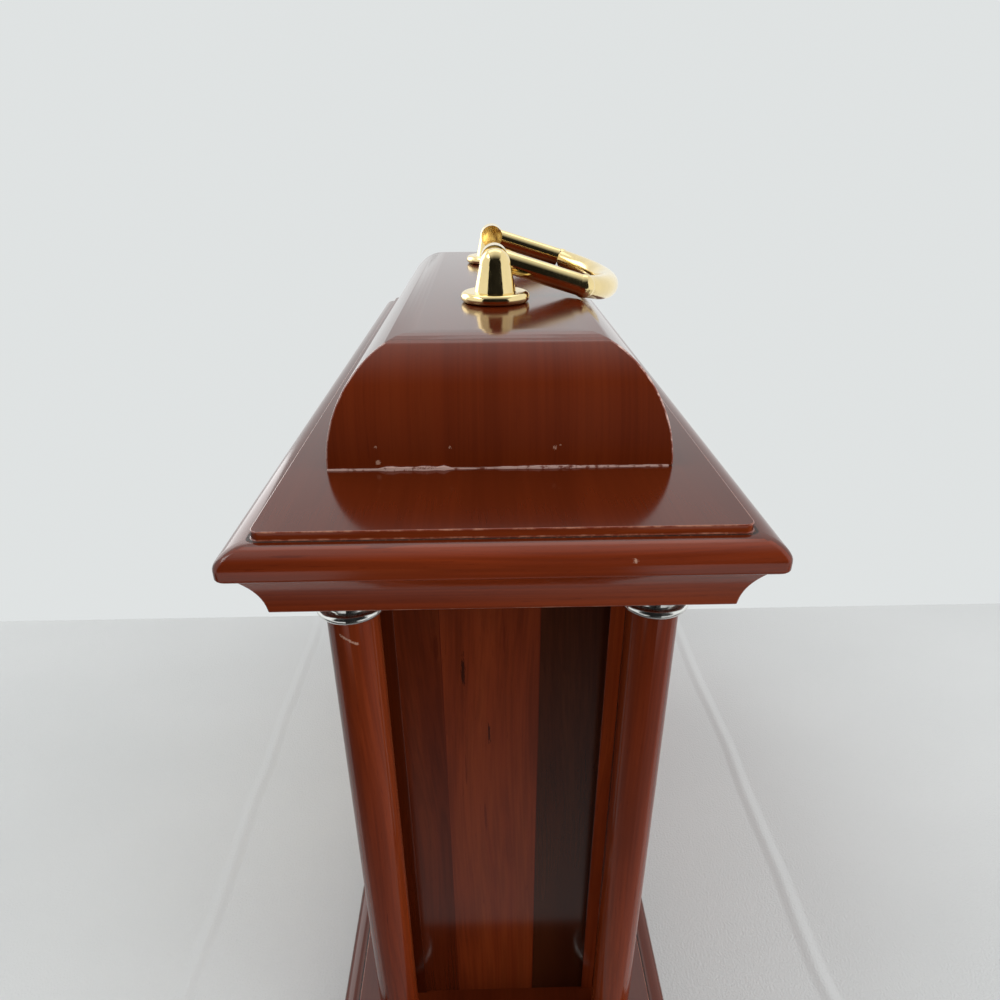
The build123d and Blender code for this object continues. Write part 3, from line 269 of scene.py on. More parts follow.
def blend(tree, factor, first, second, mode="MIX"):
    """Mix two colours."""
    step = node(tree, "ShaderNodeMix", data_type="RGBA", blend_type=mode)
    put(tree, step.inputs[0], factor)
    put(tree, step.inputs[6], first)
    put(tree, step.inputs[7], second)
    return step.outputs[2]


def noise(tree, vector, scale, detail=2.0, roughness=0.5):
    """Cloudy values around a half."""
    step = node(tree, "ShaderNodeTexNoise")
    put(tree, step.inputs["Vector"], vector)
    put(tree, step.inputs["Scale"], scale)
    put(tree, step.inputs["Detail"], detail)
    put(tree, step.inputs["Roughness"], roughness)
    return step.outputs["Fac"]


print("helpers for ranges, colours and clouds ready")

# %% Groups
VECTOR = "NodeSocketVector"
NUMBER = "NodeSocketFloat"


def new_group(name, inputs, outputs):
    """Start a node group with named sockets, and return it with its two ends."""
    tree = bpy.data.node_groups.new(name, "ShaderNodeTree")
    for label, kind in inputs:
        tree.interface.new_socket(label, in_out="INPUT", socket_type=kind)
    for label, kind in outputs:
        tree.interface.new_socket(label, in_out="OUTPUT", socket_type=kind)
    return tree, node(tree, "NodeGroupInput").outputs, node(tree, "NodeGroupOutput").inputs


def use_group(tree, group, **values):
    """Place a group in a graph, with spaces written as underscores in the input names."""
    placed = node(tree, "ShaderNodeGroup", node_tree=group)
    for name, value in values.items():
        put(tree, placed.inputs[name.replace("_", " ")], value)
    return placed.outputs


print("group sockets:", VECTOR, NUMBER)


# %% Materials
def reopen(material):
    """A material's graph, its Principled shader and the place on the piece."""
    tree = material.node_tree
    return tree, tree.nodes["Principled BSDF"], node(tree, "ShaderNodeTexCoord").outputs["Object"]


def new_material(name):
    """An empty material, with what reopen gives."""
    material = bpy.data.materials.new(name)
    material.use_nodes = True
    return material, *reopen(material)


def polish(tree, shader, mask, smooth, rough):
    """Let the roughness run between two values as a mask does."""
    put(tree, shader.inputs["Roughness"], spread(tree, mask, 0.0, 1.0, smooth, rough))


def relief(tree, shader, height, strength, depth):
    """Raise fine relief on a surface, and return its node."""
    bump = node(tree, "ShaderNodeBump")
    for name, value in (("Strength", strength), ("Distance", depth), ("Height", height)):
        put(tree, bump.inputs[name], value)
    put(tree, shader.inputs["Normal"], bump.outputs[0])
    return bump


print("helpers for materials ready")

# %% [markdown]
# ## Shared effects
#
# Some effects belong to many finishes. Wood figure needs long soft bands, fine fibres and short dark pores,
# all stretched along the grain. Handling marks make a polish uneven. Chips show pale wood where the lacquer
# has flaked. Each is one node group, used with its own values.

# %% Wood figure
figure_group, into, out = new_group(
    "wood_figure",
    [("Vector", VECTOR), ("Board", NUMBER)],
    [("Bands", NUMBER), ("Fibre", NUMBER), ("Pores", NUMBER), ("Streaks", NUMBER)],
)
BOARD_OFFSET = (0.31, 0.77, 0.53)
WANDER_STRETCH = (2.5, 6.0, 6.0)
WANDER_REACH = (0.0, 0.03, 0.03)
board_offset = node(figure_group, "ShaderNodeCombineXYZ")
for axis, factor in zip(board_offset.inputs, BOARD_OFFSET):
    put(figure_group, axis, product_of(figure_group, into["Board"], factor))
on_board = vector_sum(figure_group, "ADD", into["Vector"], board_offset.outputs[0])
wander = noise(figure_group, scaled(figure_group, on_board, WANDER_STRETCH), 1.0)
wandering = vector_sum(figure_group, "MULTIPLY_ADD", wander, WANDER_REACH, on_board)
# Output: place, stretch along and across the grain, detail, roughness, range that shows
FIGURE_LAYERS = {
    "Bands": (wandering, (5.0, 70.0, 70.0), 3.0, 0.55, (0.3, 0.7)),
    "Fibre": (wandering, (16.0, 900.0, 900.0), 2.0, 0.5, (0.25, 0.75)),
    "Pores": (on_board, (170.0, 2300.0, 2300.0), 1.0, 0.5, (0.66, 0.76)),
    "Streaks": (on_board, (32.0, 420.0, 420.0), 1.0, 0.5, (0.735, 0.775)),
}
for label, (vector, stretch, detail, roughness, shown) in FIGURE_LAYERS.items():
    layer = noise(figure_group, scaled(figure_group, vector, stretch), 1.0, detail, roughness)
    put(figure_group, out[label], spread(figure_group, layer, *shown))
print("figure layers:", list(FIGURE_LAYERS))

# %% Handling marks
SMUDGE_SCALE = 40.0
WIPE_STRETCH = (60.0, 900.0, 260.0)
WIPE_SHARE = 0.45
MARKS_SHOWN = (0.36, 0.64)
marks_group, into, out = new_group(
    "handling_marks", [("Vector", VECTOR), ("Scale", NUMBER)], [("Marks", NUMBER)]
)
smudges = noise(marks_group, into["Vector"], product_of(marks_group, into["Scale"], SMUDGE_SCALE), 3.0, 0.6)
wipes = noise(marks_group, scaled(marks_group, into["Vector"], WIPE_STRETCH), into["Scale"])
smudge_part = product_of(marks_group, smudges, 1 - WIPE_SHARE)
marks = sum_of(marks_group, "MULTIPLY_ADD", wipes, WIPE_SHARE, smudge_part)
put(marks_group, out["Marks"], spread(marks_group, marks, *MARKS_SHOWN))
print("marks shown over", MARKS_SHOWN)

# %% Lacquer chip
CHIP_GRAIN = 2600.0
CHIP_RAGGED = (3.2, -0.75)
chip_group, into, out = new_group(
    "lacquer_chip", [("Vector", VECTOR), ("Place", VECTOR), ("Radius", NUMBER)], [("Mask", NUMBER)]
)
away = node(chip_group, "ShaderNodeVectorMath", operation="DISTANCE")
put(chip_group, away.inputs[0], into["Vector"])
put(chip_group, away.inputs[1], into["Place"])
chip_noise = noise(chip_group, into["Vector"], CHIP_GRAIN, 3.0, 0.7)
ragged = sum_of(chip_group, "MULTIPLY_ADD", chip_noise, *CHIP_RAGGED)
ragged_radius = product_of(chip_group, into["Radius"], ragged)
put(chip_group, out["Mask"], sum_of(chip_group, "LESS_THAN", away.outputs["Value"], ragged_radius))
print("groups:", [g.name for g in bpy.data.node_groups])

# %% [markdown]
# ## Cherry-red lacquer
#
# The case is stained cherry red under a thick clear lacquer. The stain is nearly even, with soft bands and
# small pores, and the gloss lies on top as a coat of its own. One function makes every wooden finish: the
# direction of the grain and the tone change from board to board. Flat boards from the solids have sharp
# corners, so a Bevel node rounds their shading a little, as sanding does.

# %% Lacquer function
GRAIN_TURNS = {
    "along": (0, 0, 0),
    "across": (0, 0, math.radians(-90)),
    "upright": (0, math.radians(90), 0),
}
STAIN_DARK = (0.083, 0.0103, 0.0029, 1)
STAIN_MIDDLE = (0.176, 0.0252, 0.0056, 1)
STAIN_LIGHT = (0.244, 0.0430, 0.0095, 1)
RAW_WOOD = (0.42, 0.235, 0.165, 1)
MIDDLE_STOP = 0.55
BOARD_STEP = 1.7
FIBRE_DARKER, FIBRE_LIGHTER = 0.3, 0.2
STREAK_STRENGTH = 1.3
FIBRE_BUMP, FIBRE_DEPTH = 0.05, 0.2 * MM
SANDED_EDGE = 0.5 * MM
COAT_SOFTNESS = 0.13
COAT_IOR = 1.42


def lacquered_wood(name, grain, tone=1.0, chips=(), softened=False, contrast=0.45, gloss=1.0):
    """Stained wood under a gloss coat, with its grain along, across, upright or draped over the ends."""
    material, tree, shader, place = new_material(name)
    if grain == "draped":
        parts = axes(tree, place)
        turned = node(tree, "ShaderNodeCombineXYZ")
        put(tree, turned.inputs[0], sum_of(tree, "ADD", parts["X"], parts["Z"]))
        put(tree, turned.inputs[1], parts["Y"])
    else:
        turned = node(tree, "ShaderNodeMapping", vector_type="POINT")
        put(tree, turned.inputs["Vector"], place)
        put(tree, turned.inputs["Rotation"], GRAIN_TURNS[grain])
    figure = use_group(tree, figure_group, Vector=turned.outputs[0], Board=len(name) * BOARD_STEP)
    stain = node(tree, "ShaderNodeValToRGB")
    stain.color_ramp.elements[0].color = STAIN_DARK
    stain.color_ramp.elements[1].color = STAIN_LIGHT
    stain.color_ramp.elements.new(MIDDLE_STOP).color = STAIN_MIDDLE
    put(tree, stain.inputs[0], sum_of(tree, "MULTIPLY_ADD", figure["Bands"], contrast, 0.5 - contrast / 2))
    darkest, lightest = (1 - FIBRE_DARKER * contrast) * tone, (1 + FIBRE_LIGHTER * contrast) * tone
    fibres = spread(tree, figure["Fibre"], 0.0, 1.0, darkest, lightest)
    colour = blend(tree, 1.0, stain.outputs[0], fibres, "MULTIPLY")
    for layer, strength in (("Pores", contrast), ("Streaks", STREAK_STRENGTH * contrast)):
        colour = blend(tree, product_of(tree, figure[layer], strength), colour, STAIN_DARK)
    for spot, radius in chips:
        chip = use_group(tree, chip_group, Vector=place, Place=Vector(spot) * MM, Radius=radius * MM)
        colour = blend(tree, chip["Mask"], colour, RAW_WOOD)
    put(tree, shader.inputs["Base Color"], colour)
    marks = use_group(tree, marks_group, Vector=turned.outputs[0], Scale=1.0)
    polish(tree, shader, marks["Marks"], smooth=0.30, rough=0.46)
    fibre_relief = relief(tree, shader, figure["Fibre"], FIBRE_BUMP, FIBRE_DEPTH)
    if softened:
        rounding = node(tree, "ShaderNodeBevel", samples=4)
        put(tree, rounding.inputs["Radius"], SANDED_EDGE)
        put(tree, fibre_relief.inputs["Normal"], rounding.outputs[0])
        put(tree, shader.inputs["Coat Normal"], rounding.outputs[0])
    shader.inputs["Specular IOR Level"].default_value = 0.0
    shader.inputs["Coat Weight"].default_value = gloss
    shader.inputs["Coat Roughness"].default_value = COAT_SOFTNESS
    shader.inputs["Coat IOR"].default_value = COAT_IOR
    return material


print("grain runs:", [*GRAIN_TURNS, "draped"])

# %% Wooden finishes
BELL_CHIPS = [
    ((134.6, -15.7, 300.6), 0.6),
    ((134.6, 17.2, 300.1), 0.75),
    ((134.5, 19.0, 300.9), 0.5),
    ((134.6, -38.9, 300.9), 0.55),
    ((135.3, -38.5, 296.0), 0.8),
]
SCRATCH_START = Vector((171.4, -48.1, 256.5))
SCRATCH_END = Vector((171.6, -43.3, 253.3))
SCRATCH_SPOTS = 9
SCRATCH_RADIUS = 0.5
COLUMN_SCRATCH = [
    (SCRATCH_START.lerp(SCRATCH_END, spot / (SCRATCH_SPOTS - 1)), SCRATCH_RADIUS)
    for spot in range(SCRATCH_SPOTS)
]
BOARD_CHIPS = [
    ((155.9, -15.1, 293.5), 0.5),
    ((183.5, 15.0, 290.4), 0.8),
    ((182.6, 33.8, 290.3), 0.7),
    ((184.0, 33.9, 287.9), 0.8),
]
wood_along = lacquered_wood("cherry_along", "along", tone=0.55, contrast=0.2)
wood_across = lacquered_wood("cherry_across", "across", chips=BOARD_CHIPS)
wood_column = lacquered_wood("cherry_column", "upright", tone=0.95, chips=COLUMN_SCRATCH, gloss=0.75)
wood_upright = lacquered_wood("cherry_upright", "upright", tone=1.1, softened=True)
wood_level = lacquered_wood("cherry_level", "along", tone=1.1, softened=True)
wood_bell_end = lacquered_wood("cherry_bell_end", "draped", tone=0.74, chips=BELL_CHIPS, contrast=0.24)
print("wooden finishes:", [m.name for m in bpy.data.materials if m.name.startswith("cherry")])

# %% [markdown]
# Along every corner the stain is rubbed thin by polishing and handling, so corners look lighter and a little
# broken. One could paint that by hand, but the Bevel modifier can give the faces that it makes a finish of
# their own, so the rubbed line follows each corner exactly. On the bell top the corners are paler than bare
# wood: worn stain with a painted highlight. The ledge at the foot of each board's step is coloured dark, with
# paler specks.

# %% Rubbed corners
WEAR_SCALE = 210.0
HANDLED_FROM = (-0.03, 0.03)
BARE_CORNER = (0.36, 0.135, 0.075, 1)
BARE_AND_LIT_MITRE = (0.58, 0.36, 0.30, 1)


def rubbed_corner(name, bare, worn_from, worn_to, front_wear=1.0):
    """A corner where the stain is worn through in patches, less at the front where fewer hands reach."""
    material, tree, shader, place = new_material(name)
    patches = spread(tree, noise(tree, place, WEAR_SCALE, 4.0, 0.7), worn_from, worn_to)
    handled = spread(tree, axes(tree, place)["Y"], *HANDLED_FROM, front_wear, 1.0)
    patchy = product_of(tree, patches, handled)
    put(tree, shader.inputs["Base Color"], blend(tree, patchy, STAIN_MIDDLE, bare))
    polish(tree, shader, patchy, smooth=0.28, rough=0.5)
    shader.inputs["Specular IOR Level"].default_value = 0.25
    shader.inputs["Coat Weight"].default_value = 0.8
    shader.inputs["Coat Roughness"].default_value = COAT_SOFTNESS
    return material


rubbed_edge = rubbed_corner("rubbed_corner", BARE_CORNER, worn_from=0.42, worn_to=0.66)
# The bell top's corners are paler than bare wood: worn stain with a painted highlight
worn_and_lit_mitre = rubbed_corner("worn_and_lit_mitre", BARE_AND_LIT_MITRE, worn_from=0.42, worn_to=0.60, front_wear=0.35)
print("rubbed corners ready")

# %% Groove
GROOVE_DARK = (0.020, 0.0055, 0.0030, 1)
GROOVE_SPECKS = (0.22, 0.075, 0.035, 1)
SPECK_SCALE = 1100.0
# The ledge in each step's inner corner is coloured near-black, with paler specks
dark_groove, tree, shader, place = new_material("dark_groove")
specks = spread(tree, noise(tree, place, SPECK_SCALE, 3.0, 0.7), 0.55, 0.68)
put(tree, shader.inputs["Base Color"], blend(tree, specks, GROOVE_DARK, GROOVE_SPECKS))
polish(tree, shader, specks, smooth=0.55, rough=0.8)
print("groove ready")

# %% [markdown]
# ## Moulded boards
#
# The bell top, both boards, the cornice and the plinth are blocks with one moulding worked round all four
# sides. By hand, one would draw a rectangle and extrude it upwards again and again, resizing it at each point
# of the moulding's section. That is what these helpers do. Corner edges then get a small bevel.

# %% Sections and curves
SMOOTH_ANGLE = 40


def arc(centre, run, rise, start, end, steps):
    """Points of an ellipse's arc, as (inset, level) pairs; angles run from outwards to upwards."""
    points = []
    for step in range(steps + 1):
        angle = math.radians(start + (end - start) * step / steps)
        points.append((centre[0] - run * math.cos(angle), centre[1] + rise * math.sin(angle)))
    return points


def face_outwards():
    """Turn the normals of the piece in edit mode outwards, and leave edit mode."""
    bpy.ops.mesh.select_all(action="SELECT")
    bpy.ops.mesh.normals_make_consistent(inside=False)
    bpy.ops.object.mode_set(mode="OBJECT")


def smooth_curves(piece, degrees=SMOOTH_ANGLE):
    """Shade a piece smooth where its faces meet at less than an angle."""
    bpy.ops.object.select_all(action="DESELECT")
    piece.select_set(True)
    bpy.context.view_layer.objects.active = piece
    bpy.ops.object.shade_smooth_by_angle(angle=math.radians(degrees))


print("curves are smooth up to", SMOOTH_ANGLE, "degrees")


# %% Extruding a block
def moulded_block(name, half_x, half_y, section):
    """Extrude a rectangle upwards through a section of (inset, level) points."""
    bpy.ops.object.select_all(action="DESELECT")
    inset, level = section[0]
    bpy.ops.mesh.primitive_plane_add(size=2, location=(0, 0, level))
    block = bpy.context.object
    block.name = block.data.name = name
    block.scale = (half_x - inset, half_y - inset, 1)
    bpy.ops.object.transform_apply(location=True, rotation=True, scale=True)
    bpy.ops.object.mode_set(mode="EDIT")
    bpy.ops.mesh.select_all(action="SELECT")
    for (inset, level), (next_inset, next_level) in zip(section, section[1:]):
        bpy.ops.mesh.extrude_region_move(TRANSFORM_OT_translate={"value": (0, 0, next_level - level)})
        shrink = (
            (half_x - next_inset) / (half_x - inset),
            (half_y - next_inset) / (half_y - inset),
            1,
        )
        bpy.ops.transform.resize(value=shrink, center_override=(0, 0, next_level))
    face_outwards()
    return block


print("blocks follow a section of insets and levels")

# %% Rounding the mitres
MITRE_SEGMENTS = 5


def apply_all(piece):
    """Apply a piece's modifiers in order."""
    bpy.context.view_layer.objects.active = piece
    for modifier in list(piece.modifiers):
        bpy.ops.object.modifier_apply(modifier=modifier.name)


def round_mitres(block, half_x, half_y, radius):
    """Round the four upright corners of a block in plan, as sanding does."""
    weight = block.data.attributes.new("bevel_weight_edge", "FLOAT", "EDGE")
    places = block.data.vertices
    for edge in block.data.edges:
        ends = [places[v].co for v in edge.vertices]
        on_mitre = all(abs((half_x - abs(p.x)) - (half_y - abs(p.y))) < HAIR for p in ends)
        same_corner = ends[0].x * ends[1].x > 0 and ends[0].y * ends[1].y > 0
        weight.data[edge.index].value = 1.0 if on_mitre and same_corner else 0.0
    rounding = block.modifiers.new("mitres", "BEVEL")
    rounding.width = radius
    rounding.segments = MITRE_SEGMENTS
    rounding.limit_method = "WEIGHT"
    apply_all(block)


print("mitres are rounded in", MITRE_SEGMENTS, "steps")

# %% Finishing a block
LEVEL_FACE = 0.98
CORNER_SEGMENTS = 3
CORNER_ANGLE = 35


def finish_block(block, half_x, half_y, side_wood, end_wood, edge_width, corner=rubbed_edge, groove=None):
    """Give sides and ends their grain, darken a groove, bevel the corners and smooth the curves."""
    for material in (side_wood, end_wood, corner, dark_groove):
        block.data.materials.append(material)
    for face in block.data.polygons:
        # A face right on a mitre counts as a side, so that rounding errors never decide
        at_end = half_x - abs(face.center.x) < half_y - abs(face.center.y) - HAIR
        face.material_index = 1 if at_end and abs(face.normal.z) < LEVEL_FACE else 0
        if groove is not None and face.normal.z > LEVEL_FACE and abs(face.center.z - groove) < HAIR:
            face.material_index = 3
    bevel = block.modifiers.new("corners", "BEVEL")
    bevel.width = edge_width
    bevel.segments = CORNER_SEGMENTS
    bevel.limit_method = "ANGLE"
    bevel.angle_limit = math.radians(CORNER_ANGLE)
    bevel.material = 2
    apply_all(block)
    smooth_curves(block)
    weighted = block.modifiers.new("flat faces stay flat", "WEIGHTED_NORMAL")
    weighted.keep_sharp = True
    apply_all(block)
    print(block.name, "faces:", len(block.data.polygons))


def keep(piece, body, slot, *stands_for):
    """Hand a finished piece to its body and hide the solids that it stands for. The slot is not used."""
    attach(piece, body)
    if stands_for:
        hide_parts(*stands_for)


print("corners are bevelled from", CORNER_ANGLE, "degrees")

# %% [markdown]
# The bell top is the clock's crown: on each side a quarter of an ellipse rises to a flat top. A curve could
# be swept round it, but extruding the section step by step keeps its four mitres straight.

# %% Bell top
low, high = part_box("bell_top")
BELL_RUN = 28 * MM
BELL_EDGE = 0.6 * MM
bell_rise = high.z - low.z
bell_section = [(0, low.z)] + arc((BELL_RUN, low.z), BELL_RUN, bell_rise, 2, 90, 22)
bell_top = moulded_block("bell_top_dressed", high.x, high.y, bell_section)
finish_block(bell_top, high.x, high.y, wood_along, wood_bell_end, BELL_EDGE, worn_and_lit_mitre)
keep(bell_top, "case", "case_wood", "bell_top")

# %% [markdown]
# The bell top is glued to the board, and at the near end the joint was filled: a pale, ragged line runs along
# its foot. Paint in the wood's finish would look flat from the side, so it is a piece of its own. A small
# square is extruded along the joint in short steps and resized at each one, thick where the filler was
# pressed out and thin elsewhere. The draw of random sizes has a seed, so each run gives the same line.

# %% Filler line
FILLER_RUNS = [(-37.0, 0.5), (-17.6, 1.05), (-1.4, 0.4), (25.0, 0.75), (54.6, 0.5)]
FILLER_START = -54.6 * MM
FILLER_STEP = 2.3 * MM
FILLER_RAGGED = (0.75, 1.2)
FILLER_SMOOTH = 60
PALE_PASTE = (0.60, 0.40, 0.35, 1)
STAINED_PASTE = (0.20, 0.06, 0.04, 1)
joint_x, joint_z = high.x, low.z
draw = random.Random(11)


def filler_size(y):
    """Ragged size of the filler at a place along the joint."""
    run = next(size for end, size in FILLER_RUNS if y <= end * MM + HAIR)
    return run * MM * draw.uniform(*FILLER_RAGGED)


size = filler_size(FILLER_START)
bpy.ops.object.select_all(action="DESELECT")
first = (joint_x + size / 2, FILLER_START, joint_z + size / 2)
bpy.ops.mesh.primitive_plane_add(size=size, location=first, rotation=(math.radians(90), 0, 0))
filler = bpy.context.object
filler.name = filler.data.name = "filler_line"
bpy.ops.object.transform_apply(location=True, rotation=True, scale=True)
bpy.ops.object.mode_set(mode="EDIT")
bpy.ops.mesh.select_all(action="SELECT")
for step in range(round(-2 * FILLER_START / FILLER_STEP)):
    y = FILLER_START + FILLER_STEP * (step + 1)
    bpy.ops.mesh.extrude_region_move(TRANSFORM_OT_translate={"value": (0, FILLER_STEP, 0)})
    next_size = filler_size(y)
    ratio = next_size / size
    bpy.ops.transform.resize(value=(ratio, 1, ratio), center_override=(joint_x, y, joint_z))
    size = next_size
face_outwards()
smooth_curves(filler, FILLER_SMOOTH)

filler_paste, tree, shader, place = new_material("filler_paste")
stained = spread(tree, noise(tree, place, 420.0, 3.0, 0.7), 0.52, 0.64)
put(tree, shader.inputs["Base Color"], blend(tree, stained, PALE_PASTE, STAINED_PASTE))
polish(tree, shader, stained, smooth=0.65, rough=0.35)
filler.data.materials.append(filler_paste)
keep(filler, "case", "case_wood")
print("filler line faces:", len(filler.data.polygons))

# %% [markdown]
# Both boards carry the same edge: a rounded nose, an ovolo and a small step. The ledge in the inner corner of
# the step is coloured as a dark line. One section serves both, so one loop makes them.

# %% Moulded boards
NOSE_ROUND = 1.3 * MM
OVOLO_RUN = 7.2 * MM
OVOLO_RISE = 5.0 * MM
STEP_LEDGE = 1.1 * MM
STEP_HEIGHT = 2.5 * MM
MITRE_ROUND = 2.2 * MM
BOARD_EDGE = 0.35 * MM


def board_section(bottom, top):
    """Section of a moulded board edge, from its underside to its top."""
    shoulder = top - STEP_HEIGHT
    nose = arc((NOSE_ROUND, bottom + NOSE_ROUND), NOSE_ROUND, NOSE_ROUND, -90, 0, 6)
    ovolo = arc((OVOLO_RUN, shoulder - OVOLO_RISE), OVOLO_RUN, OVOLO_RISE, 0, 90, 12)
    ledge = OVOLO_RUN + STEP_LEDGE
    return nose + ovolo + [(ledge, shoulder), (ledge, top)]


for solid, piece_name in (("top_board", "top_board_dressed"), ("base_board", "base_board_dressed")):
    low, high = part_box(solid)
    board = moulded_block(piece_name, high.x, high.y, board_section(low.z, high.z))
    round_mitres(board, high.x, high.y, MITRE_ROUND)
    groove_level = high.z - STEP_HEIGHT
    finish_block(board, high.x, high.y, wood_along, wood_across, BOARD_EDGE, groove=groove_level)
    keep(board, "case", "case_wood", solid)

# %% [markdown]
# The cornice is a frame of four mitred rails with a hollow cove, and the plinth a frame with a rounded bead.
# Four rails could be modelled one by one. Here the whole moulding is extruded as a block, the underside and
# the top are inset by the rail's width, and a bridge between the two inner loops opens the frame.


# %% Cornice and plinth frames
def open_frame(block, foot, head, half_x, half_y, rail_width):
    """Cut a rectangular opening through a block between two (inset, level) faces."""
    for inset, level in (foot, head):
        pick(block, "FACE", lambda corners: all(abs(p.z - level) < HAIR for p in corners))
        bpy.ops.mesh.inset(thickness=rail_width - inset, depth=0)
        bpy.ops.mesh.delete(type="FACE")
        bpy.ops.object.mode_set(mode="OBJECT")
    reach_x = half_x - rail_width + HAIR
    reach_y = half_y - rail_width + HAIR
    pick(block, "EDGE", lambda ends: all(abs(p.x) < reach_x and abs(p.y) < reach_y for p in ends))
    bpy.ops.mesh.bridge_edge_loops()
    face_outwards()


CORNICE_RAIL = 44 * MM
COVE_TOP_INSET = 2.8 * MM
COVE_FOOT_INSET = 9.5 * MM
COVE_HOLLOW = 1.4 * MM
COVE_STEPS = 12
FRAME_EDGE = 0.5 * MM
case_low, case_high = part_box("plinth_ends")
case_half_x, case_half_y = case_high.x, case_high.y
cove_low, cove_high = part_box("cornice_ends")
cove_section = []
for step in range(COVE_STEPS + 1):
    share = step / COVE_STEPS
    hollow = COVE_HOLLOW * 4 * share * (1 - share)
    inset = COVE_FOOT_INSET + (COVE_TOP_INSET - COVE_FOOT_INSET) * share + hollow
    cove_section.append((inset, cove_low.z + (cove_high.z - cove_low.z) * share))
cornice = moulded_block("cornice_dressed", case_half_x, case_half_y, cove_section)
open_frame(cornice, cove_section[0], cove_section[-1], case_half_x, case_half_y, CORNICE_RAIL)
finish_block(cornice, case_half_x, case_half_y, wood_along, wood_across, FRAME_EDGE)
keep(cornice, "case", "case_wood", "cornice_front", "cornice_back", "cornice_ends")

# %% Plinth
PLINTH_RAIL = 34 * MM
BEAD_STEP = 3 * MM
BEAD_RISE = 6 * MM
plinth_section = arc((BEAD_STEP, case_low.z), BEAD_STEP, BEAD_RISE, 0, 90, 10) + [(BEAD_STEP, case_high.z)]
plinth = moulded_block("plinth_dressed", case_half_x, case_half_y, plinth_section)
open_frame(plinth, plinth_section[0], plinth_section[-1], case_half_x, case_half_y, PLINTH_RAIL)
finish_block(plinth, case_half_x, case_half_y, wood_along, wood_across, FRAME_EDGE)
keep(plinth, "case", "case_wood", "plinth_front", "plinth_back", "plinth_ends")

# %% [markdown]
# ## Flat boards and columns
#
# The columns, panels, frame and door keep the solids' meshes and get their finishes. Each end panel is glued
# up from three boards that took the stain differently, so its finish changes at the joints.

# %% End panel finish
BOARD_JOINTS = (-21.0 * MM, 12.9 * MM)
BOARD_TONES = ((0.72, 0.72, 0.72, 1), (1.10, 1.16, 1.20, 1), (0.30, 0.44, 0.60, 1))
STREAK_SQUEEZE = (1.0, 1.0, 0.1)
PANEL_STREAKS = [((147.2, -13.6, 222.0), 0.7), ((147.2, -4.9, 193.0), 0.5)]
STREAK_DEPTH = 0.75
RESIN = (0.012, 0.004, 0.002, 1)
GLUE_HALF = 0.14 * MM
end_panel_wood = lacquered_wood("cherry_end_panel", "upright", tone=0.78)
tree, shader, place = reopen(end_panel_wood)
across = axes(tree, place)["Y"]
past_first, past_second = [sum_of(tree, "GREATER_THAN", across, joint) for joint in BOARD_JOINTS]
first_two = blend(tree, past_first, BOARD_TONES[0], BOARD_TONES[1])
board_tone = blend(tree, past_second, first_two, BOARD_TONES[2])
plain = shader.inputs["Base Color"].links[0].from_socket
toned_boards = blend(tree, 1.0, plain, board_tone, "MULTIPLY")
nearest = sum_of(tree, "MINIMUM", *[distance_from(tree, across, joint) for joint in BOARD_JOINTS])
glue_line = sum_of(tree, "LESS_THAN", nearest, GLUE_HALF)
panel_colour = blend(tree, glue_line, toned_boards, STAIN_DARK)
squeezed = scaled(tree, place, STREAK_SQUEEZE)
for spot, radius in PANEL_STREAKS:
    middle = Vector(a * b * MM for a, b in zip(spot, STREAK_SQUEEZE))
    streak = use_group(tree, chip_group, Vector=squeezed, Place=middle, Radius=radius * MM)
    panel_colour = blend(tree, product_of(tree, streak["Mask"], STREAK_DEPTH), panel_colour, RESIN)
put(tree, shader.inputs["Base Color"], panel_colour)
board_number = sum_of(tree, "ADD", past_first, past_second)
for step in tree.nodes:
    if step.type == "GROUP" and step.node_tree == figure_group:
        put(tree, step.inputs["Board"], board_number)
print("end panel boards:", len(BOARD_TONES), "streaks:", len(PANEL_STREAKS))

# %% [markdown]
# The front panel's two end edges are coloured darker than its face. The edges could get a material of their
# own, but only they lie at the panel's full width, so the place across it finds them.

# %% Front panel finish
EDGE_DEPTH = 0.2 * MM
EDGE_TONE = (0.30, 0.26, 0.22, 1)
panel_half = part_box("front_panel")[1].x
front_wood = lacquered_wood("cherry_front_panel", "upright", tone=1.1, softened=True)
tree, shader, place = reopen(front_wood)
from_middle = sum_of(tree, "ABSOLUTE", axes(tree, place)["X"])
at_edge = sum_of(tree, "GREATER_THAN", from_middle, panel_half - EDGE_DEPTH)
plain = shader.inputs["Base Color"].links[0].from_socket
# The two end edges are coloured darker than the face
darkened = blend(tree, 1.0, plain, EDGE_TONE, "MULTIPLY")
put(tree, shader.inputs["Base Color"], blend(tree, at_edge, plain, darkened))
print("sawn edges at x =", round(panel_half, 4))


# %% Finishes on the wooden solids
def finish_solid(material, *names):
    """Give carried-over solids one finish."""
    for name in names:
        for slot in nodes[name].material_slots:
            slot.material = material


finish_solid(end_panel_wood, "end_panel_left", "end_panel_right")
finish_solid(front_wood, "front_panel")
finish_solid(wood_upright, "back_stiles", "rear_door")
finish_solid(wood_level, "back_rails")
COLUMNS = ("column_front_left", "column_front_right", "column_back_left", "column_back_right")
finish_solid(wood_column, *COLUMNS)
print("columns finished:", len(COLUMNS))

# %% [markdown]
# ## Metals
#
# The handle, bezel and hinges are lacquered brass, polished almost to a mirror, and the column rings are
# nickel plate. A mirror finish is mostly what it reflects, so the colour stays plain and the roughness varies
# where hands have touched it.


# %% Metal function
TARNISH_SCALE = 90.0


def polished_metal(name, colour, smooth, worn, tarnish):
    """Metal whose polish and colour vary with handling."""
    material, tree, shader, place = new_material(name)
    marks = use_group(tree, marks_group, Vector=place, Scale=1.0)
    polish(tree, shader, marks["Marks"], smooth, worn)
    darker = tuple(c * (1 - tarnish) for c in colour[:3]) + (1,)
    cloudy = spread(tree, noise(tree, place, TARNISH_SCALE, 3.0), 0.35, 0.7)
    put(tree, shader.inputs["Base Color"], blend(tree, cloudy, colour, darker))
    shader.inputs["Metallic"].default_value = 1.0
    return material


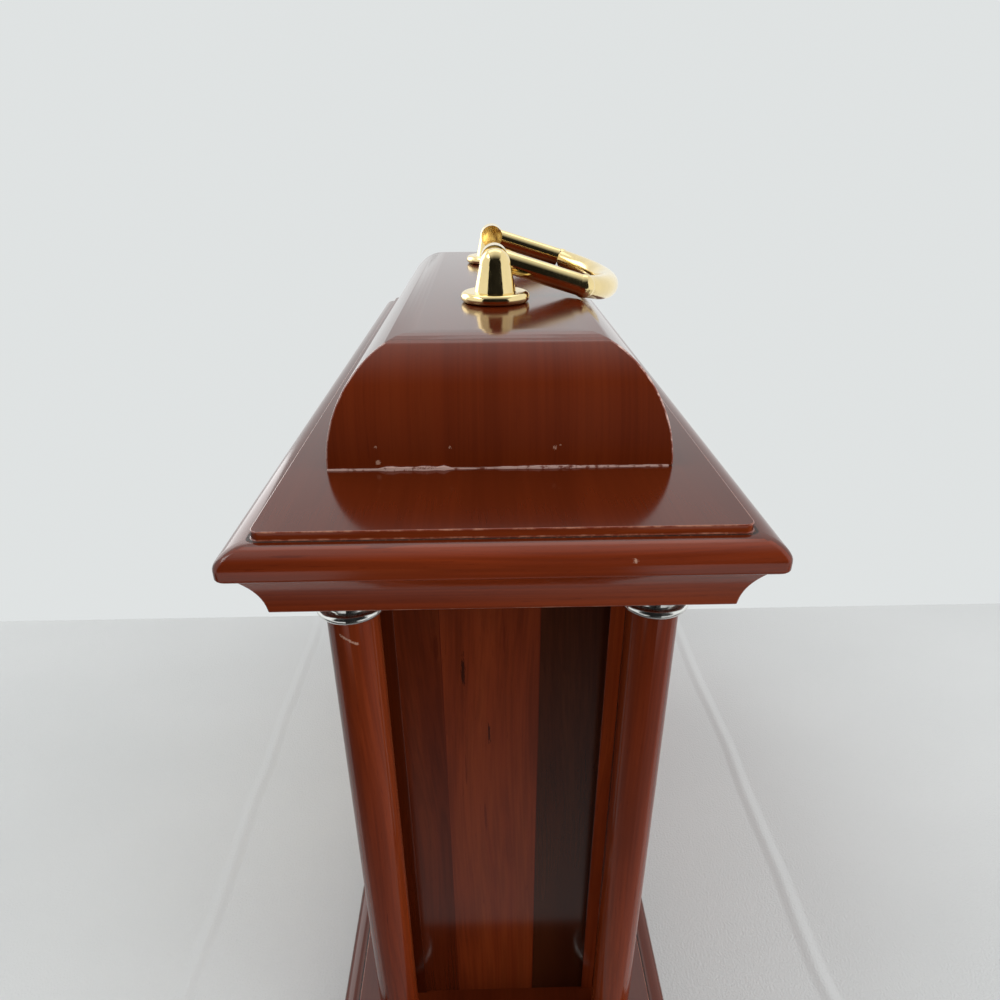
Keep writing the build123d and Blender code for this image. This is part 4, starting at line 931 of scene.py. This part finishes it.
BRASS = (0.91, 0.71, 0.35, 1)
NICKEL = (0.86, 0.85, 0.82, 1)
STEEL = (0.52, 0.52, 0.53, 1)
brass = polished_metal("polished_brass", BRASS, smooth=0.07, worn=0.18, tarnish=0.12)
nickel = polished_metal("nickel_plate", NICKEL, smooth=0.12, worn=0.26, tarnish=0.12)
steel = polished_metal("zinc_steel", STEEL, smooth=0.22, worn=0.38, tarnish=0.2)
BRASS_SOLIDS = (
    "handle_post_left", "handle_post_right", "bail_handle", "bail_pins", "bezel_ring",
    "bezel_hinge_bracket", "bezel_hinge_pin", "rear_door_knob", "rear_hinge_frame_leaves",
    "rear_hinge_door_leaves", "rear_hinge_pins", "sight_ring", "stem_nut",
)
finish_solid(brass, *BRASS_SOLIDS)
finish_solid(nickel, "column_base_rings", "column_capitals")
STEEL_SOLIDS = ("base_screws", "handle_screws", "dial_screws", "glass_retainer", "stator", "battery_contacts")
finish_solid(steel, *STEEL_SOLIDS)
print("brass solids:", len(BRASS_SOLIDS), "steel solids:", len(STEEL_SOLIDS))

# %% [markdown]
# ## Dial
#
# The dial is a gilt plate with an enamel chapter ring. Its printing could be an image, but lines worked out
# from the place stay sharp at any distance. They follow the circle, so both finishes work in polar terms: one
# group turns a place on the dial into its distance from the centre and its part of a turn, clockwise from
# twelve. It also gives fine rays for the brushed plate.

# %% Places on the dial
RAY_SCALE = 55.0
low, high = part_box("chapter_ring")
dial_centre = (low + high) / 2
dial_front = low.y
polar_group, into, out = new_group(
    "dial_polar",
    [("Vector", VECTOR), ("Centre", VECTOR)],
    [("Radius", NUMBER), ("Turn", NUMBER), ("Rays", NUMBER)],
)
flat = axes(polar_group, vector_sum(polar_group, "SUBTRACT", into["Vector"], into["Centre"]))
across, upwards = flat["X"], flat["Z"]
squares = sum_of(polar_group, "MULTIPLY_ADD", across, across, product_of(polar_group, upwards, upwards))
put(polar_group, out["Radius"], sum_of(polar_group, "SQRT", squares))
turn_angle = sum_of(polar_group, "ARCTAN2", across, upwards)
put(polar_group, out["Turn"], sum_of(polar_group, "DIVIDE", turn_angle, 2 * math.pi))
towards = node(polar_group, "ShaderNodeCombineXYZ")
put(polar_group, towards.inputs[0], sum_of(polar_group, "SINE", turn_angle))
put(polar_group, towards.inputs[1], sum_of(polar_group, "COSINE", turn_angle))
put(polar_group, out["Rays"], noise(polar_group, towards.outputs[0], RAY_SCALE))
print("dial centre:", tuple(round(v, 5) for v in dial_centre))

# %% [markdown]
# The chapter ring carries a minute track: two thin circles with sixty strokes between them, stronger at the
# hours. A stroke is where the distance to the nearest whole minute, measured along the arc, is small.

# %% Chapter ring
ENAMEL = (0.80, 0.785, 0.72, 1)
ENAMEL_AGED = (0.70, 0.67, 0.57, 1)
INK = (0.012, 0.011, 0.011, 1)
TRACK_INNER = 73.1 * MM
TRACK_OUTER = 75.2 * MM
BORDER_RADIUS = 56.6 * MM
LINE_HALF = 0.13 * MM
MINUTE_HALF = 0.16 * MM
HOUR_HALF = 0.5 * MM


def thin_circle(tree, radius, at):
    """Mask of a thin circle at one radius."""
    return sum_of(tree, "LESS_THAN", distance_from(tree, radius, at), LINE_HALF)


def strokes(tree, radius, turn, count, half_width):
    """Mask of evenly spaced radial strokes."""
    part = sum_of(tree, "FRACT", sum_of(tree, "MULTIPLY_ADD", turn, float(count), 0.5))
    minute_arc = product_of(tree, radius, 2 * math.pi / count)
    along_arc = product_of(tree, distance_from(tree, part, 0.5), minute_arc)
    return sum_of(tree, "LESS_THAN", along_arc, half_width)


enamel, tree, shader, place = new_material("chapter_enamel")
polar = use_group(tree, polar_group, Vector=place, Centre=dial_centre)
minutes = strokes(tree, polar["Radius"], polar["Turn"], 60, MINUTE_HALF)
hours = strokes(tree, polar["Radius"], polar["Turn"], 12, HOUR_HALF)
past_inner = sum_of(tree, "GREATER_THAN", polar["Radius"], TRACK_INNER)
within_outer = sum_of(tree, "LESS_THAN", polar["Radius"], TRACK_OUTER)
printed = product_of(tree, sum_of(tree, "MAXIMUM", minutes, hours), past_inner, within_outer)
for circle in (TRACK_INNER, TRACK_OUTER, BORDER_RADIUS):
    printed = sum_of(tree, "MAXIMUM", printed, thin_circle(tree, polar["Radius"], circle))
ageing = spread(tree, noise(tree, place, 60.0, 4.0, 0.6), 0.4, 0.75)
fired = blend(tree, ageing, ENAMEL, ENAMEL_AGED)
put(tree, shader.inputs["Base Color"], blend(tree, printed, fired, INK))
polish(tree, shader, ageing, smooth=0.22, rough=0.36)
finish_solid(enamel, "chapter_ring")
print("chapter ring printed")

# %% [markdown]
# The plate behind it was turned and brushed: rays in the polish run outwards from the centre, and fine
# grooves run round it. Cutting the grooves would take a very dense mesh, and they are far thinner than the
# plate, so they are a bump.

# %% Dial plate
GROOVE_PITCH = 0.9 * MM
GROOVE_DEPTH = 0.1 * MM
GILT = (0.86, 0.64, 0.29, 1)
gilt_plate = polished_metal("brushed_gilt_plate", GILT, smooth=0.20, worn=0.34, tarnish=0.10)
tree, shader, place = reopen(gilt_plate)
polar = use_group(tree, polar_group, Vector=place, Centre=dial_centre)
put(tree, shader.inputs["Roughness"], spread(tree, polar["Rays"], 0.3, 0.7, 0.16, 0.42))
ripple = sum_of(tree, "SINE", product_of(tree, polar["Radius"], 2 * math.pi / GROOVE_PITCH))
relief(tree, shader, ripple, strength=0.35, depth=GROOVE_DEPTH)
finish_solid(gilt_plate, "dial_plate")
print("dial plate brushed")

# %% [markdown]
# ## Numerals
#
# The hours are Roman numerals with their feet towards the centre. A text object would bring a font's own
# shapes along, and three letters make all twelve, so they are drawn. Each stroke is a long bar that leans and
# is then cut level at foot and head with a bisect, as a sign painter would mask it. The letters are modelled
# once, and each numeral gets copies of their meshes.

# %% Bars for the letters
LETTER_HEIGHT = 12.0 * MM
THICK = 2.2 * MM
THIN = 0.75 * MM
SERIF = 0.6 * MM
SERIF_WIDE, SERIF_MIDDLE, SERIF_SHORT = 3.4 * MM, 3.2 * MM, 2.6 * MM
INK_THICKNESS = 0.12 * MM
LETTER_WIDTHS = {"I": SERIF_WIDE, "V": 8.4 * MM, "X": 8.8 * MM}


def bar(width, height, place, lean=0.0):
    """A flat bar, leaning to the right by an angle and cut level at foot and head."""
    bpy.ops.object.select_all(action="DESELECT")
    bpy.ops.mesh.primitive_plane_add(size=1)
    made = bpy.context.object
    made.scale = (width, 3 * height, 1)
    made.rotation_euler = (0, 0, -lean)
    bpy.ops.object.transform_apply(location=True, rotation=True, scale=True)
    bpy.ops.object.mode_set(mode="EDIT")
    for side in (-1, 1):
        bpy.ops.mesh.select_all(action="SELECT")
        edge = (0, side * height / 2, 0)
        bpy.ops.mesh.bisect(plane_co=edge, plane_no=(0, side, 0), clear_outer=True)
    bpy.ops.object.mode_set(mode="OBJECT")
    made.location = (place[0], place[1] + height / 2, 0)
    bpy.ops.object.transform_apply(location=True, rotation=True, scale=True)
    return made


def join_up(pieces, name):
    """Join pieces to one, and name it and its mesh."""
    bpy.ops.object.select_all(action="DESELECT")
    for piece in pieces:
        piece.select_set(True)
    bpy.context.view_layer.objects.active = pieces[0]
    bpy.ops.object.join()
    joined = bpy.context.object
    joined.name = joined.data.name = name
    return joined


def letter(sign, bars):
    """Join bars to one letter and give it a little thickness."""
    joined = join_up(bars, "letter_" + sign)
    bpy.ops.object.mode_set(mode="EDIT")
    bpy.ops.mesh.select_all(action="SELECT")
    bpy.ops.mesh.extrude_region_move(TRANSFORM_OT_translate={"value": (0, 0, INK_THICKNESS)})
    face_outwards()
    return joined


print("letter height:", LETTER_HEIGHT)

# %% Three letters
top = LETTER_HEIGHT - SERIF
letters = {
    "I": letter("I", [
        bar(THICK, LETTER_HEIGHT, (0, 0)),
        bar(LETTER_WIDTHS["I"], SERIF, (0, 0)),
        bar(LETTER_WIDTHS["I"], SERIF, (0, top)),
    ])
}
reach = LETTER_WIDTHS["V"] / 2 - 0.5 * THICK
lean = math.atan2(reach, LETTER_HEIGHT)
letters["V"] = letter("V", [
    bar(THICK * 0.95, LETTER_HEIGHT, (-reach / 2, 0), -lean),
    bar(THIN, LETTER_HEIGHT, (reach / 2, 0), lean),
    bar(SERIF_WIDE, SERIF, (-reach, top)),
    bar(SERIF_SHORT, SERIF, (reach, top)),
])
reach = LETTER_WIDTHS["X"] / 2 - 0.5 * THICK
lean = math.atan2(2 * reach, LETTER_HEIGHT)
letters["X"] = letter("X", [
    bar(THICK * 0.9, LETTER_HEIGHT, (0, 0), -lean),
    bar(THIN, LETTER_HEIGHT, (0, 0), lean),
    bar(SERIF_MIDDLE, SERIF, (-reach, top)),
    bar(SERIF_SHORT, SERIF, (reach, top)),
    bar(SERIF_SHORT, SERIF, (-reach, 0)),
    bar(SERIF_MIDDLE, SERIF, (reach, 0)),
])
print("letters:", sorted(letters))


# %% Numerals round the ring
def copy_to(pattern, placing):
    """Copy a piece with a mesh of its own, and place it in that mesh."""
    placed = pattern.copy()
    placed.data = pattern.data.copy()
    bpy.context.collection.objects.link(placed)
    placed.data.transform(placing)
    return placed


NUMERALS = ("I", "II", "III", "IIII", "V", "VI", "VII", "VIII", "IX", "X", "XI", "XII")
NUMERAL_FOOT = 59.2 * MM
LETTER_GAP = 0.35 * MM
copies = []
for hour, numeral in enumerate(NUMERALS, start=1):
    angle = math.radians(30 * hour)
    outwards = Vector((math.sin(angle), 0, math.cos(angle)))
    clockwise = Vector((math.cos(angle), 0, -math.sin(angle)))
    turn = Matrix((clockwise, outwards, Vector((0, -1, 0)))).transposed().to_4x4()
    foot = Vector((dial_centre.x, dial_front, dial_centre.z)) + outwards * NUMERAL_FOOT
    total = sum(LETTER_WIDTHS[sign] for sign in numeral) + LETTER_GAP * (len(numeral) - 1)
    reach = -total / 2
    for sign in numeral:
        width = LETTER_WIDTHS[sign]
        spot = foot + clockwise * (reach + width / 2)
        copies.append(copy_to(letters[sign], Matrix.Translation(spot) @ turn))
        reach += width + LETTER_GAP
hour_numerals = join_up(copies, "hour_numerals")
for pattern in letters.values():
    bpy.data.objects.remove(pattern)
print("numeral letters:", len(copies))

# %% [markdown]
# ## Paint, plastic and rubber
#
# The hands and numerals are satin black paint. The movement's case, its wheels and the feet are moulded, with
# a fine grain from the mould and some wear in the gloss. Four separate graphs would be alike but for their
# numbers, so one function serves them all.


# %% Moulded finishes
GLOSS_SCALE = 120.0
GLOSS_SHOWN = (0.4, 0.7)
MOULD_MARKS = 1.5
MOULD_BUMP = 0.25


def moulded(name, colour, worn_colour, smooth, rough, grain, depth):
    """A moulded or painted surface with a fine grain and patchy gloss."""
    material, tree, shader, place = new_material(name)
    patches = spread(tree, noise(tree, place, GLOSS_SCALE, 3.0, 0.6), *GLOSS_SHOWN)
    put(tree, shader.inputs["Base Color"], blend(tree, patches, colour + (1,), worn_colour + (1,)))
    marks = use_group(tree, marks_group, Vector=place, Scale=MOULD_MARKS)
    polish(tree, shader, marks["Marks"], smooth, rough)
    relief(tree, shader, noise(tree, place, grain), MOULD_BUMP, depth * MM)
    return material


black_paint = moulded(
    "satin_black_paint", colour=(0.010, 0.010, 0.011), worn_colour=(0.018, 0.017, 0.016),
    smooth=0.22, rough=0.38, grain=1500.0, depth=0.02,
)
case_plastic = moulded(
    "movement_case_plastic", colour=(0.016, 0.016, 0.018), worn_colour=(0.024, 0.024, 0.025),
    smooth=0.36, rough=0.52, grain=2600.0, depth=0.05,
)
wheel_resin = moulded(
    "wheel_resin", colour=(0.66, 0.63, 0.54), worn_colour=(0.58, 0.54, 0.44),
    smooth=0.30, rough=0.44, grain=1800.0, depth=0.02,
)
soft_rubber = moulded(
    "foot_rubber", colour=(0.022, 0.021, 0.020), worn_colour=(0.036, 0.034, 0.032),
    smooth=0.62, rough=0.82, grain=1900.0, depth=0.06,
)
print("moulded finishes:", [m.name for m in (black_paint, case_plastic, wheel_resin, soft_rubber)])

# %% Where they go
hour_numerals.data.materials.clear()
hour_numerals.data.materials.append(black_paint)
keep(hour_numerals, "case", "hand_black")
finish_solid(black_paint, "hour_hand", "minute_hand", "second_hand")
finish_solid(case_plastic, "movement_front_case", "movement_rear_case", "setting_knob")
WHEELS = (
    "hour_wheel", "minute_arbor", "minute_wheel", "centre_wheel", "third_wheel", "second_wheel",
    "fifth_wheel", "rotor",
)
finish_solid(wheel_resin, *WHEELS)
finish_solid(soft_rubber, "foot_pads")
print("moulded finishes on", len(WHEELS), "wheels")

# %% [markdown]
# ## Glass, coil and cell
#
# The bezel's glass is a shallow dome. Glass that throws a full shadow would darken the dial, so the shadow
# rays pass straight through. The coil's winding could be a long wire, but it is too fine to see as one, so
# its turns are a bump along its axis. The cell's jacket has a plain band at its positive end.

# %% Glass
clear_glass, tree, shader, place = new_material("clear_glass")
marks = use_group(tree, marks_group, Vector=place, Scale=0.6)
polish(tree, shader, marks["Marks"], smooth=0.0, rough=0.04)
shader.inputs["Base Color"].default_value = (0.97, 0.985, 0.98, 1)
shader.inputs["Transmission Weight"].default_value = 1.0
shader.inputs["IOR"].default_value = 1.5
passing = node(tree, "ShaderNodeMixShader")
put(tree, passing.inputs[0], node(tree, "ShaderNodeLightPath").outputs["Is Shadow Ray"])
put(tree, passing.inputs[1], shader.outputs[0])
put(tree, passing.inputs[2], node(tree, "ShaderNodeBsdfTransparent").outputs[0])
put(tree, tree.nodes["Material Output"].inputs["Surface"], passing.outputs[0])
finish_solid(clear_glass, "bezel_glass")
print("glass ready")

# %% Coil
WIRE_PITCH = 0.35 * MM
WIRE_DEPTH = 0.15 * MM
COPPER = (0.72, 0.30, 0.13, 1)
copper = polished_metal("copper_winding", COPPER, smooth=0.24, worn=0.40, tarnish=0.2)
tree, shader, place = reopen(copper)
turns = sum_of(tree, "SINE", product_of(tree, axes(tree, place)["Z"], 2 * math.pi / WIRE_PITCH))
relief(tree, shader, turns, strength=0.8, depth=WIRE_DEPTH)
finish_solid(copper, "coil")
print("coil wound at", WIRE_PITCH)

# %% Cell
low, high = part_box("battery")
BAND_SHARE = 0.72
BAND_METAL = 0.8
CAP_LENGTH = 2.2 * MM
FOOT_LENGTH = 0.5 * MM
JACKET = (0.018, 0.019, 0.022, 1)
BAND = (0.55, 0.34, 0.12, 1)
BARE_METAL = (0.62, 0.62, 0.61, 1)
SCUFF = (0.4, 0.4, 0.4, 1)
SCUFF_SCALE = 260.0
SCUFF_STRENGTH = 0.15
cell, tree, shader, place = new_material("cell_jacket")
along_cell = axes(tree, place)["X"]
past_band = sum_of(tree, "GREATER_THAN", along_cell, low.x + BAND_SHARE * (high.x - low.x))
at_cap = sum_of(tree, "GREATER_THAN", along_cell, high.x - CAP_LENGTH)
at_foot = sum_of(tree, "LESS_THAN", along_cell, low.x + FOOT_LENGTH)
bare_metal = sum_of(tree, "MAXIMUM", at_cap, at_foot)
scuffs = spread(tree, noise(tree, place, SCUFF_SCALE, 3.0), 0.45, 0.7)
jacket = blend(tree, past_band, JACKET, BAND)
scuffed = blend(tree, product_of(tree, scuffs, SCUFF_STRENGTH), jacket, SCUFF)
put(tree, shader.inputs["Base Color"], blend(tree, bare_metal, scuffed, BARE_METAL))
band_metal = product_of(tree, past_band, BAND_METAL)
put(tree, shader.inputs["Metallic"], sum_of(tree, "MAXIMUM", bare_metal, band_metal))
polish(tree, shader, scuffs, smooth=0.25, rough=0.4)
finish_solid(cell, "battery")
print("cell ready")

# %% [markdown]
# ## Screw heads
#
# The hinge leaves are held by small raised screws. A bump could hint at them, but they catch the light at
# their rims. One head is modelled: a short cylinder, its rim bevelled, with a slot that a thin block cuts out
# of it. Each hinge then gets copies, turned so that no two slots line up.

# %% One screw head
HEAD_RADIUS = 1.7 * MM
HEAD_HEIGHT = 0.55 * MM
SLOT_WIDTH = 0.5 * MM
SLOT_DEPTH = 0.35 * MM
RIM_BEVEL = 0.3 * MM
bpy.ops.object.select_all(action="DESELECT")
bpy.ops.mesh.primitive_cylinder_add(
    vertices=32, radius=HEAD_RADIUS, depth=HEAD_HEIGHT, location=(0, 0, HEAD_HEIGHT / 2)
)
screw_head = bpy.context.object
bpy.ops.object.transform_apply(location=True, rotation=True, scale=True)
pick(screw_head, "EDGE", lambda ends: all(p.z > HEAD_HEIGHT - HAIR for p in ends))
bpy.ops.mesh.bevel(offset=RIM_BEVEL, segments=3)
bpy.ops.object.mode_set(mode="OBJECT")
bpy.ops.object.select_all(action="DESELECT")
bpy.ops.mesh.primitive_cube_add(size=1, location=(0, 0, HEAD_HEIGHT))
slot_block = bpy.context.object
slot_block.scale = (3 * HEAD_RADIUS, SLOT_WIDTH, 2 * SLOT_DEPTH)
bpy.ops.object.transform_apply(location=True, rotation=True, scale=True)
slot_cut = screw_head.modifiers.new("slot", "BOOLEAN")
slot_cut.operation = "DIFFERENCE"
slot_cut.object = slot_block
apply_all(screw_head)
bpy.data.objects.remove(slot_block)
smooth_curves(screw_head)
screw_head.data.materials.append(brass)
print("screw head faces:", len(screw_head.data.polygons))


# %% Screws on the hinges
FIRST_TURN, NEXT_TURN = 37, 71


def set_screws(name, body, places, outwards):
    """Copy the screw head to places on a flat leaf that faces the front (-1) or the back (1)."""
    heads = []
    facing = Matrix.Rotation(math.radians(-90 * outwards), 4, "X")
    for number, spot in enumerate(places):
        slot_turn = Matrix.Rotation(math.radians(FIRST_TURN + NEXT_TURN * number), 4, "Z")
        heads.append(copy_to(screw_head, Matrix.Translation(spot) @ facing @ slot_turn))
    keep(join_up(heads, name), body, "gilt_brass")
    print(name, "heads:", len(heads))


LEAF_THICKNESS = 1.2 * MM
SCREW_EDGE = 5.0 * MM
SCREW_SPREAD = 8.0 * MM
HINGE_HALF = 13.0 * MM
BRACKET_SPREAD = 6.5 * MM
frame_low, frame_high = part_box("rear_hinge_frame_leaves")
door_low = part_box("rear_hinge_door_leaves")[0]
rear_face = frame_low.y + LEAF_THICKNESS
frame_places = []
door_places = []
for hinge_z in (frame_low.z + HINGE_HALF, frame_high.z - HINGE_HALF):
    for rise in (-SCREW_SPREAD, SCREW_SPREAD):
        frame_places.append(Vector((frame_high.x - SCREW_EDGE, rear_face, hinge_z + rise)))
        door_places.append(Vector((door_low.x + SCREW_EDGE, rear_face, hinge_z + rise)))
set_screws("rear_frame_screw_heads", "case", frame_places, 1)
set_screws("rear_door_screw_heads", "back_door", door_places, 1)
bracket_low, bracket_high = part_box("bezel_hinge_bracket")
bracket_face = bracket_high.y - LEAF_THICKNESS
bracket_z = (bracket_low.z + bracket_high.z) / 2
bracket_places = [
    Vector((bracket_low.x + SCREW_EDGE, bracket_face, bracket_z + rise))
    for rise in (-BRACKET_SPREAD, BRACKET_SPREAD)
]
set_screws("bracket_screw_heads", "case", bracket_places, -1)
bpy.data.objects.remove(screw_head)

# %% [markdown]
# ## Table finish and room
#
# The table wears a white cloth, so it has a very fine weave, soft wide creases and two pressed folds. They
# could be modelled, but the table is only the stage, so they are a bump.

# %% Cloth
CLOTH_SHADED_HOLLOW = (0.61, 0.625, 0.625, 1)
CLOTH_LIT_RIDGE = (0.69, 0.70, 0.70, 1)
WEAVE_STRETCH = (900.0, 900.0, 1.0)
CREASE_STRETCH = (9.0, 5.0, 1.0)
CREASE_RISE = 4.0
CLOTH_RELIEF = 1.0 * MM
FOLD_PLACES = (-156 * MM, 172 * MM)
FOLD_HALF = 6 * MM
FOLD_RISE = 3.0
FOLD_WAVER = 12 * MM
cloth, tree, shader, place = new_material("white_cloth")
weave = noise(tree, scaled(tree, place, WEAVE_STRETCH), 1.0, 1.0)
crease = noise(tree, scaled(tree, place, CREASE_STRETCH), 1.0)
# Painted shade and light: the cloth is darker in the creases' hollows and lighter on their ridges
put(tree, shader.inputs["Base Color"], blend(tree, crease, CLOTH_SHADED_HOLLOW, CLOTH_LIT_RIDGE))
shader.inputs["Roughness"].default_value = 0.9
waver = sum_of(tree, "MULTIPLY_ADD", crease, FOLD_WAVER, axes(tree, place)["Y"])
height = sum_of(tree, "MULTIPLY_ADD", crease, CREASE_RISE, weave)
for fold_place in FOLD_PLACES:
    off_fold = distance_from(tree, waver, fold_place)
    height = sum_of(tree, "ADD", height, spread(tree, off_fold, 0.0, FOLD_HALF, FOLD_RISE, 0.0))
relief(tree, shader, height, strength=0.25, depth=CLOTH_RELIEF)
table.data.materials.append(cloth)
print("cloth folds:", len(FOLD_PLACES))

# %% [markdown]
# The dark card glows by itself, so reflections show exactly the brightness that is written here. Its floor
# part is pale beside the clock and fades to dark further off, as the cloth does in the real polish, with a
# pale patch on each side for the column rings. Its upright part is dark, and its canopy fades to the
# brightness of the wall. A painted card would need lamps of its own.

# %% Card
CARD_PALE = (0.27, 0.275, 0.275, 1)
CARD_DARK = (0.012, 0.012, 0.012, 1)
CANOPY_PALE = (0.86, 0.89, 0.89, 1)
CARD_FADE = (0.17, 0.48)
CARD_SLANT = 0.5
PATCH_PALE = (0.80, 0.82, 0.82, 1)
PATCH_ASIDE = (0.13, 0.18)
PATCH_AWAY = (0.43, 0.50)
PATCH_TOP = 0.14
FLOOR_TOP = 0.01
CANOPY_FADE = (-0.15, 0.75)
card, tree, shader, place = new_material("dark_card")
card_place = axes(tree, place)
slanted = sum_of(tree, "MULTIPLY_ADD", card_place["Y"], -CARD_SLANT, card_place["X"])
low_fade = spread(tree, slanted, *CARD_FADE)
high_fade = spread(tree, card_place["X"], *CANOPY_FADE)
overhead = sum_of(tree, "GREATER_THAN", card_place["Z"], CARD_TOP)
upright_part = sum_of(tree, "GREATER_THAN", card_place["Z"], FLOOR_TOP)
below = blend(tree, sum_of(tree, "MAXIMUM", low_fade, upright_part), CARD_PALE, CARD_DARK)
aside = spread(tree, sum_of(tree, "ABSOLUTE", card_place["Y"]), *PATCH_ASIDE)
away = spread(tree, card_place["X"], *PATCH_AWAY)
near_table = sum_of(tree, "LESS_THAN", card_place["Z"], PATCH_TOP)
below = blend(tree, product_of(tree, aside, away, near_table), below, PATCH_PALE)
above = blend(tree, high_fade, CANOPY_PALE, CARD_DARK)
put(tree, shader.inputs["Emission Color"], blend(tree, overhead, below, above))
shader.inputs["Emission Strength"].default_value = 1.0
shader.inputs["Base Color"].default_value = (0, 0, 0, 1)
shader.inputs["Specular IOR Level"].default_value = 0.0
dark_card.data.materials.append(card)
print("card fades over x", CARD_FADE, "and its canopy over x", CANOPY_FADE)

# %% [markdown]
# The room is a pale wall all round, and the world plays it. Camera and glass see the wall's own colour, and
# polish sees it a little brighter, as the lit part of a real room is. As a lamp the room is weaker, and
# stronger on the right than on the left, so that the two sides of a column differ.

# %% Room
WALL = (0.74, 0.765, 0.765, 1)
ROOM_SIDES = (-0.8, 0.8)
ROOM_LIGHT = (0.18, 0.8)
ROOM_MIRRORED = 1.3
world = bpy.data.worlds.new("pale_room")
bpy.context.scene.world = world
world.use_nodes = True
tree = world.node_tree
path = node(tree, "ShaderNodeLightPath")
background = tree.nodes["Background"]
put(tree, background.inputs["Color"], WALL)
towards = axes(tree, node(tree, "ShaderNodeTexCoord").outputs["Generated"])
strength = spread(tree, towards["Y"], *ROOM_SIDES, *ROOM_LIGHT)
for ray, seen in (("Is Glossy Ray", ROOM_MIRRORED), ("Is Transmission Ray", 1.0), ("Is Camera Ray", 1.0)):
    choice = node(tree, "ShaderNodeMix", data_type="FLOAT")
    put(tree, choice.inputs[0], path.outputs[ray])
    put(tree, choice.inputs[2], strength)
    put(tree, choice.inputs[3], seen)
    strength = choice.outputs[0]
put(tree, background.inputs["Strength"], strength)
bpy.context.scene.view_settings.view_transform = "Standard"
print("room ready")
